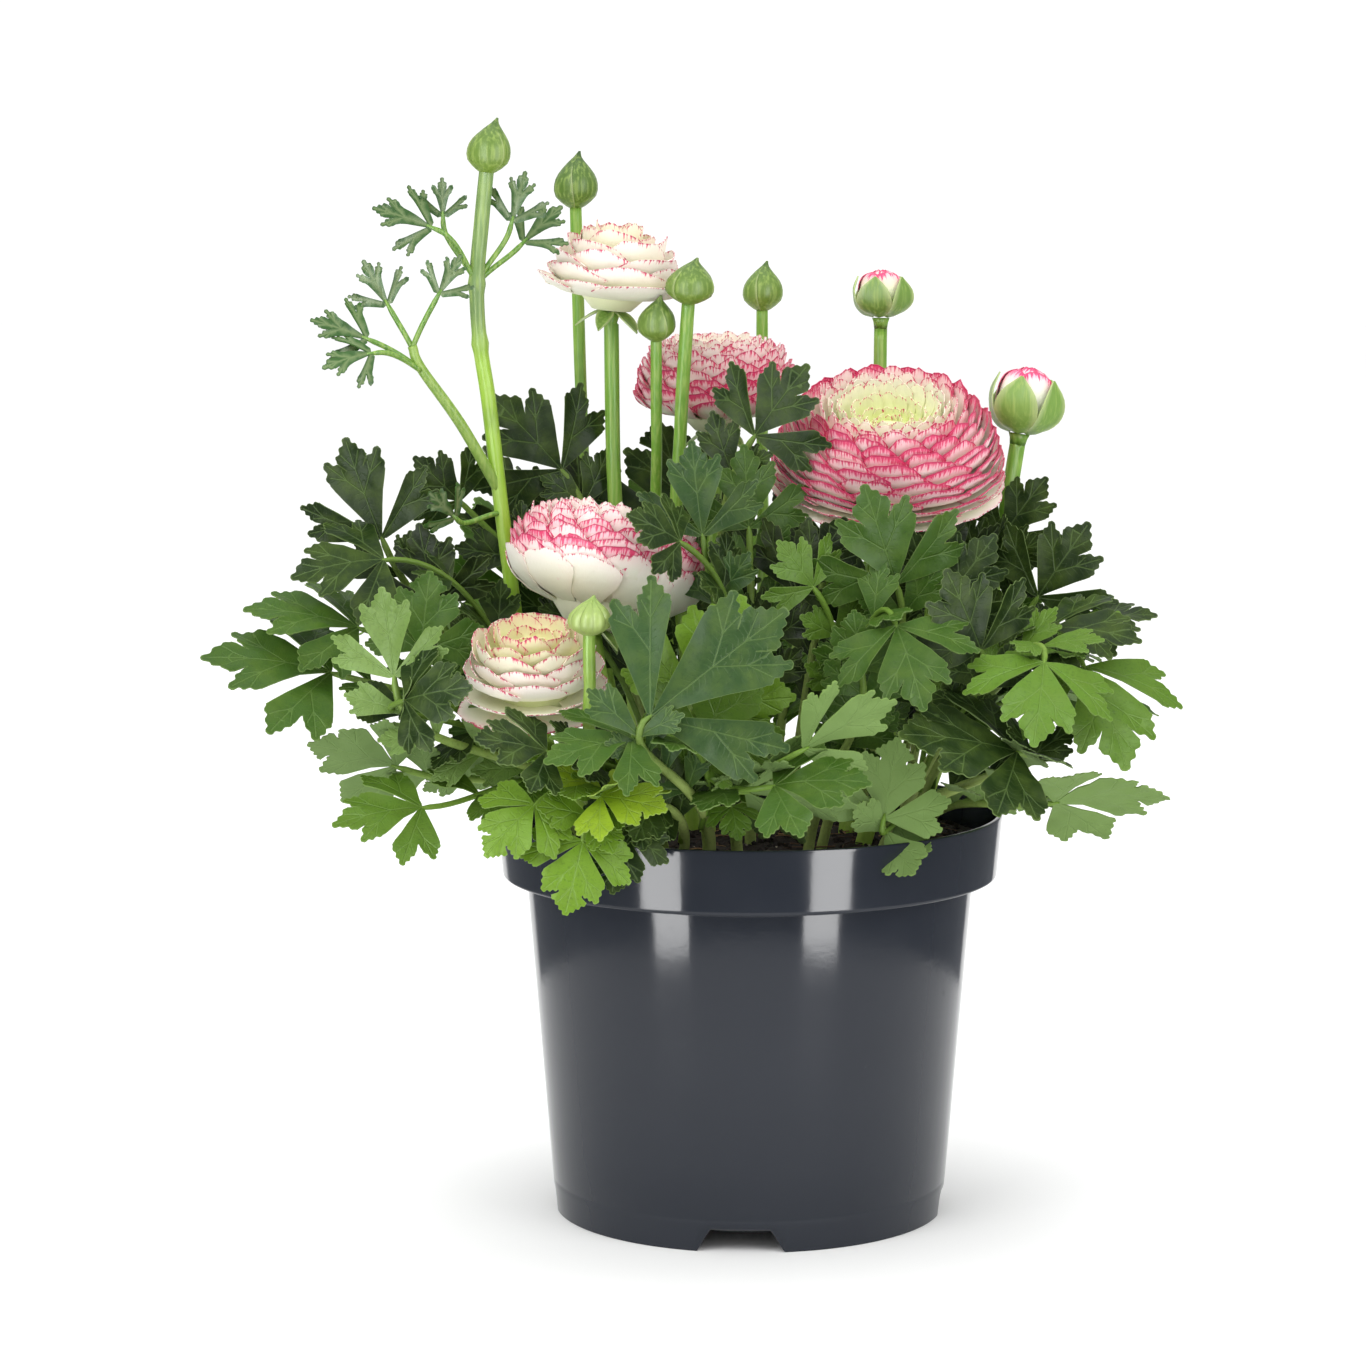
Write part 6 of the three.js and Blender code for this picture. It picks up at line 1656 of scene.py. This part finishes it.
def make_bud_petals(material, name, base, axis, size, generator):
    """Petals of an opening bud: tight layers that wrap round each other."""
    skin = Skin(name + "_piece")
    green, blush = OPENING_BUDS[name]
    rotation = rotation_to(axis)
    radius, height = size
    t = np.append(np.linspace(0, 1, BUD_PETAL_ROWS)[:-1], [0.97, 1.0])
    for layer, (fullness, tall, count) in enumerate(BUD_PETAL_LAYERS):
        for i in range(count):
            grid_t, grid_s = np.meshgrid(t, PETAL_COLUMNS, indexing="ij")
            phase = generator.uniform(0, FULL_TURN)
            end = tall * (1 - 0.12 * np.abs(grid_s) ** 2.5 + 0.012 * np.sin(6 * grid_s + phase))
            reach, level = profile_at(BUD_PETAL_PROFILE, grid_t * end)
            open_up = (0.04 + 0.03 * (2 - layer)) * smooth((grid_t - 0.6) / 0.4)
            half = 0.68 * FULL_TURN / count * (1 - 0.15 * grid_t)
            angle = (i + 0.5 * layer) * FULL_TURN / count + grid_s * half
            r = radius * fullness * (reach + open_up) * (1 + 0.06 * grid_s)
            side = (1 - np.abs(grid_s)) * half * np.maximum(r, 2)
            edge = np.minimum((1 - grid_t) * height, side + (1 - grid_t) * 6)
            across = grid_s * half * r + generator.uniform(0, 50)
            values = dict(edge=edge.ravel(), across=across.ravel(), along=(grid_t * height).ravel(),
                          blush=blush * generator.uniform(0.8, 1.2),
                          green=np.clip(green + 0.5 * (1 - grid_t.ravel()) ** 2, 0, 1))
            place = around(r, angle, level * height)
            sheet(skin, *grid_t.shape, place @ rotation.T + base, PETAL_THICKNESS, **values)
    skin.build(material, "petal", name)


def make_plant(materials):
    """Stems, blooms and sprays, rooted in the order in which the solids take places."""
    places = root_pattern()
    stem_roots = [take_root(places, stem[5][0], STEM_FOOT_SHARE) for stem in STEMS]
    draw = seeded_random(BACK_SEED)
    sprays = list(SPRAYS)
    for i, row in enumerate(BACK_SPRAYS):
        sprays.append((f"spray_back_{i + 1}", back_spray_leaves(row, BACK_TONES[i], draw)))
    generator = np.random.default_rng(BUD_SEED)
    carried = {}
    for stem, root in zip(STEMS, stem_roots):
        base, axis = make_stem(materials, stem, root, generator)
        carried[stem[0]] = base
        if stem[4]:
            make_bud_petals(materials["petal"], stem[4], base, axis, stem[3], generator)
    petals = np.random.default_rng(BLOOM_SEED)
    for bloom in BLOOMS:
        make_bloom(materials["petal"], bloom, carried[bloom["stem"]], petals)
    generator = np.random.default_rng(LEAF_SEED)
    for name, leaves in sprays:
        hub = leaves[0][1]
        rise = (hub[2] - LOW_HUB) / (HIGH_HUB - LOW_HUB)
        root = take_root(places, hub, LOW_FOOT_SHARE + (HIGH_FOOT_SHARE - LOW_FOOT_SHARE) * rise)
        make_spray(materials["leaf"], name, leaves, root, generator)


def add_camera():
    data = bpy.data.cameras.new("camera")
    data.sensor_width = SENSOR_WIDTH
    data.lens = FOCAL_PIXELS / PHOTO_WIDTH * SENSOR_WIDTH
    camera = new_object("camera", data)
    camera.location = [value * MM for value in CAMERA_PLACE]
    camera.rotation_euler = (math.pi / 2 - CAMERA_PITCH, 0, 0)
    bpy.context.scene.camera = camera


def add_floor():
    half = FLOOR_SIZE / 2
    corners = [(-half, -half, 0), (half, -half, 0), (half, half, 0), (-half, half, 0)]
    material = plain_material("studio_floor", 3, "floor low", "floor high", Roughness=0.9,
                              Specular_IOR_Level=0.1)
    floor = mesh_object("studio_floor", corners, [(0, 1, 2, 3)], material)


def add_area(name, place, target, size, power, gloss_only=False):
    data = bpy.data.lights.new(name, "AREA")
    data.shape = "RECTANGLE"
    data.size, data.size_y = size
    data.energy = power
    light = new_object(name, data)
    light.location = place
    direction = Vector(target) - Vector(place)
    light.rotation_euler = direction.to_track_quat("-Z", "Y").to_euler()
    light.visible_camera = False
    light.visible_diffuse = not gloss_only


def add_card():
    """A dark curved card round the front and sides that only gloss shows. It stands on the floor."""
    bearings = np.radians(np.linspace(-CARD_TURN, CARD_TURN, CARD_COLUMNS))
    points = [(CARD_RADIUS * math.sin(turn), -CARD_RADIUS * math.cos(turn), level)
              for level in (0.0, CARD_HEIGHT) for turn in bearings]
    material = plain_material("dark_card", 6, "card low", "card high", Roughness=1.0)
    card = mesh_object("dark_card", points, grid_quads(2, CARD_COLUMNS).tolist(), material)
    for kind in ("camera", "diffuse", "transmission", "volume_scatter", "shadow"):
        setattr(card, "visible_" + kind, False)


def add_lights():
    world = bpy.data.worlds.new("studio")
    world.use_nodes = True
    background = world.node_tree.nodes["Background"]
    background.inputs["Color"].default_value = (1.0, 1.0, 1.0, 1.0)
    background.inputs["Strength"].default_value = WORLD_LIGHT
    bpy.context.scene.world = world
    for name, place, size, power in LAMPS:
        add_area(name, place, LAMP_TARGET, (size, size), power)
    for name, bearing, power in SOFTBOXES:
        angle = math.radians(bearing)
        x, y = SOFTBOX_REACH * math.sin(angle), -SOFTBOX_REACH * math.cos(angle)
        height = SOFTBOX_SIZE[1] / 2
        add_area(name, (x, y, height), (0, 0, height), SOFTBOX_SIZE, power, gloss_only=True)


bpy.context.scene.view_settings.view_transform = "Standard"
add_camera()
add_floor()
add_card()
add_lights()
MATERIALS = dict(pot=pot_material(), soil=soil_material(), stem=stem_material(), leaf=leaf_material(),
                 petal=petal_material())
make_pot(MATERIALS["pot"])
make_soil(MATERIALS["soil"])
make_plant(MATERIALS)
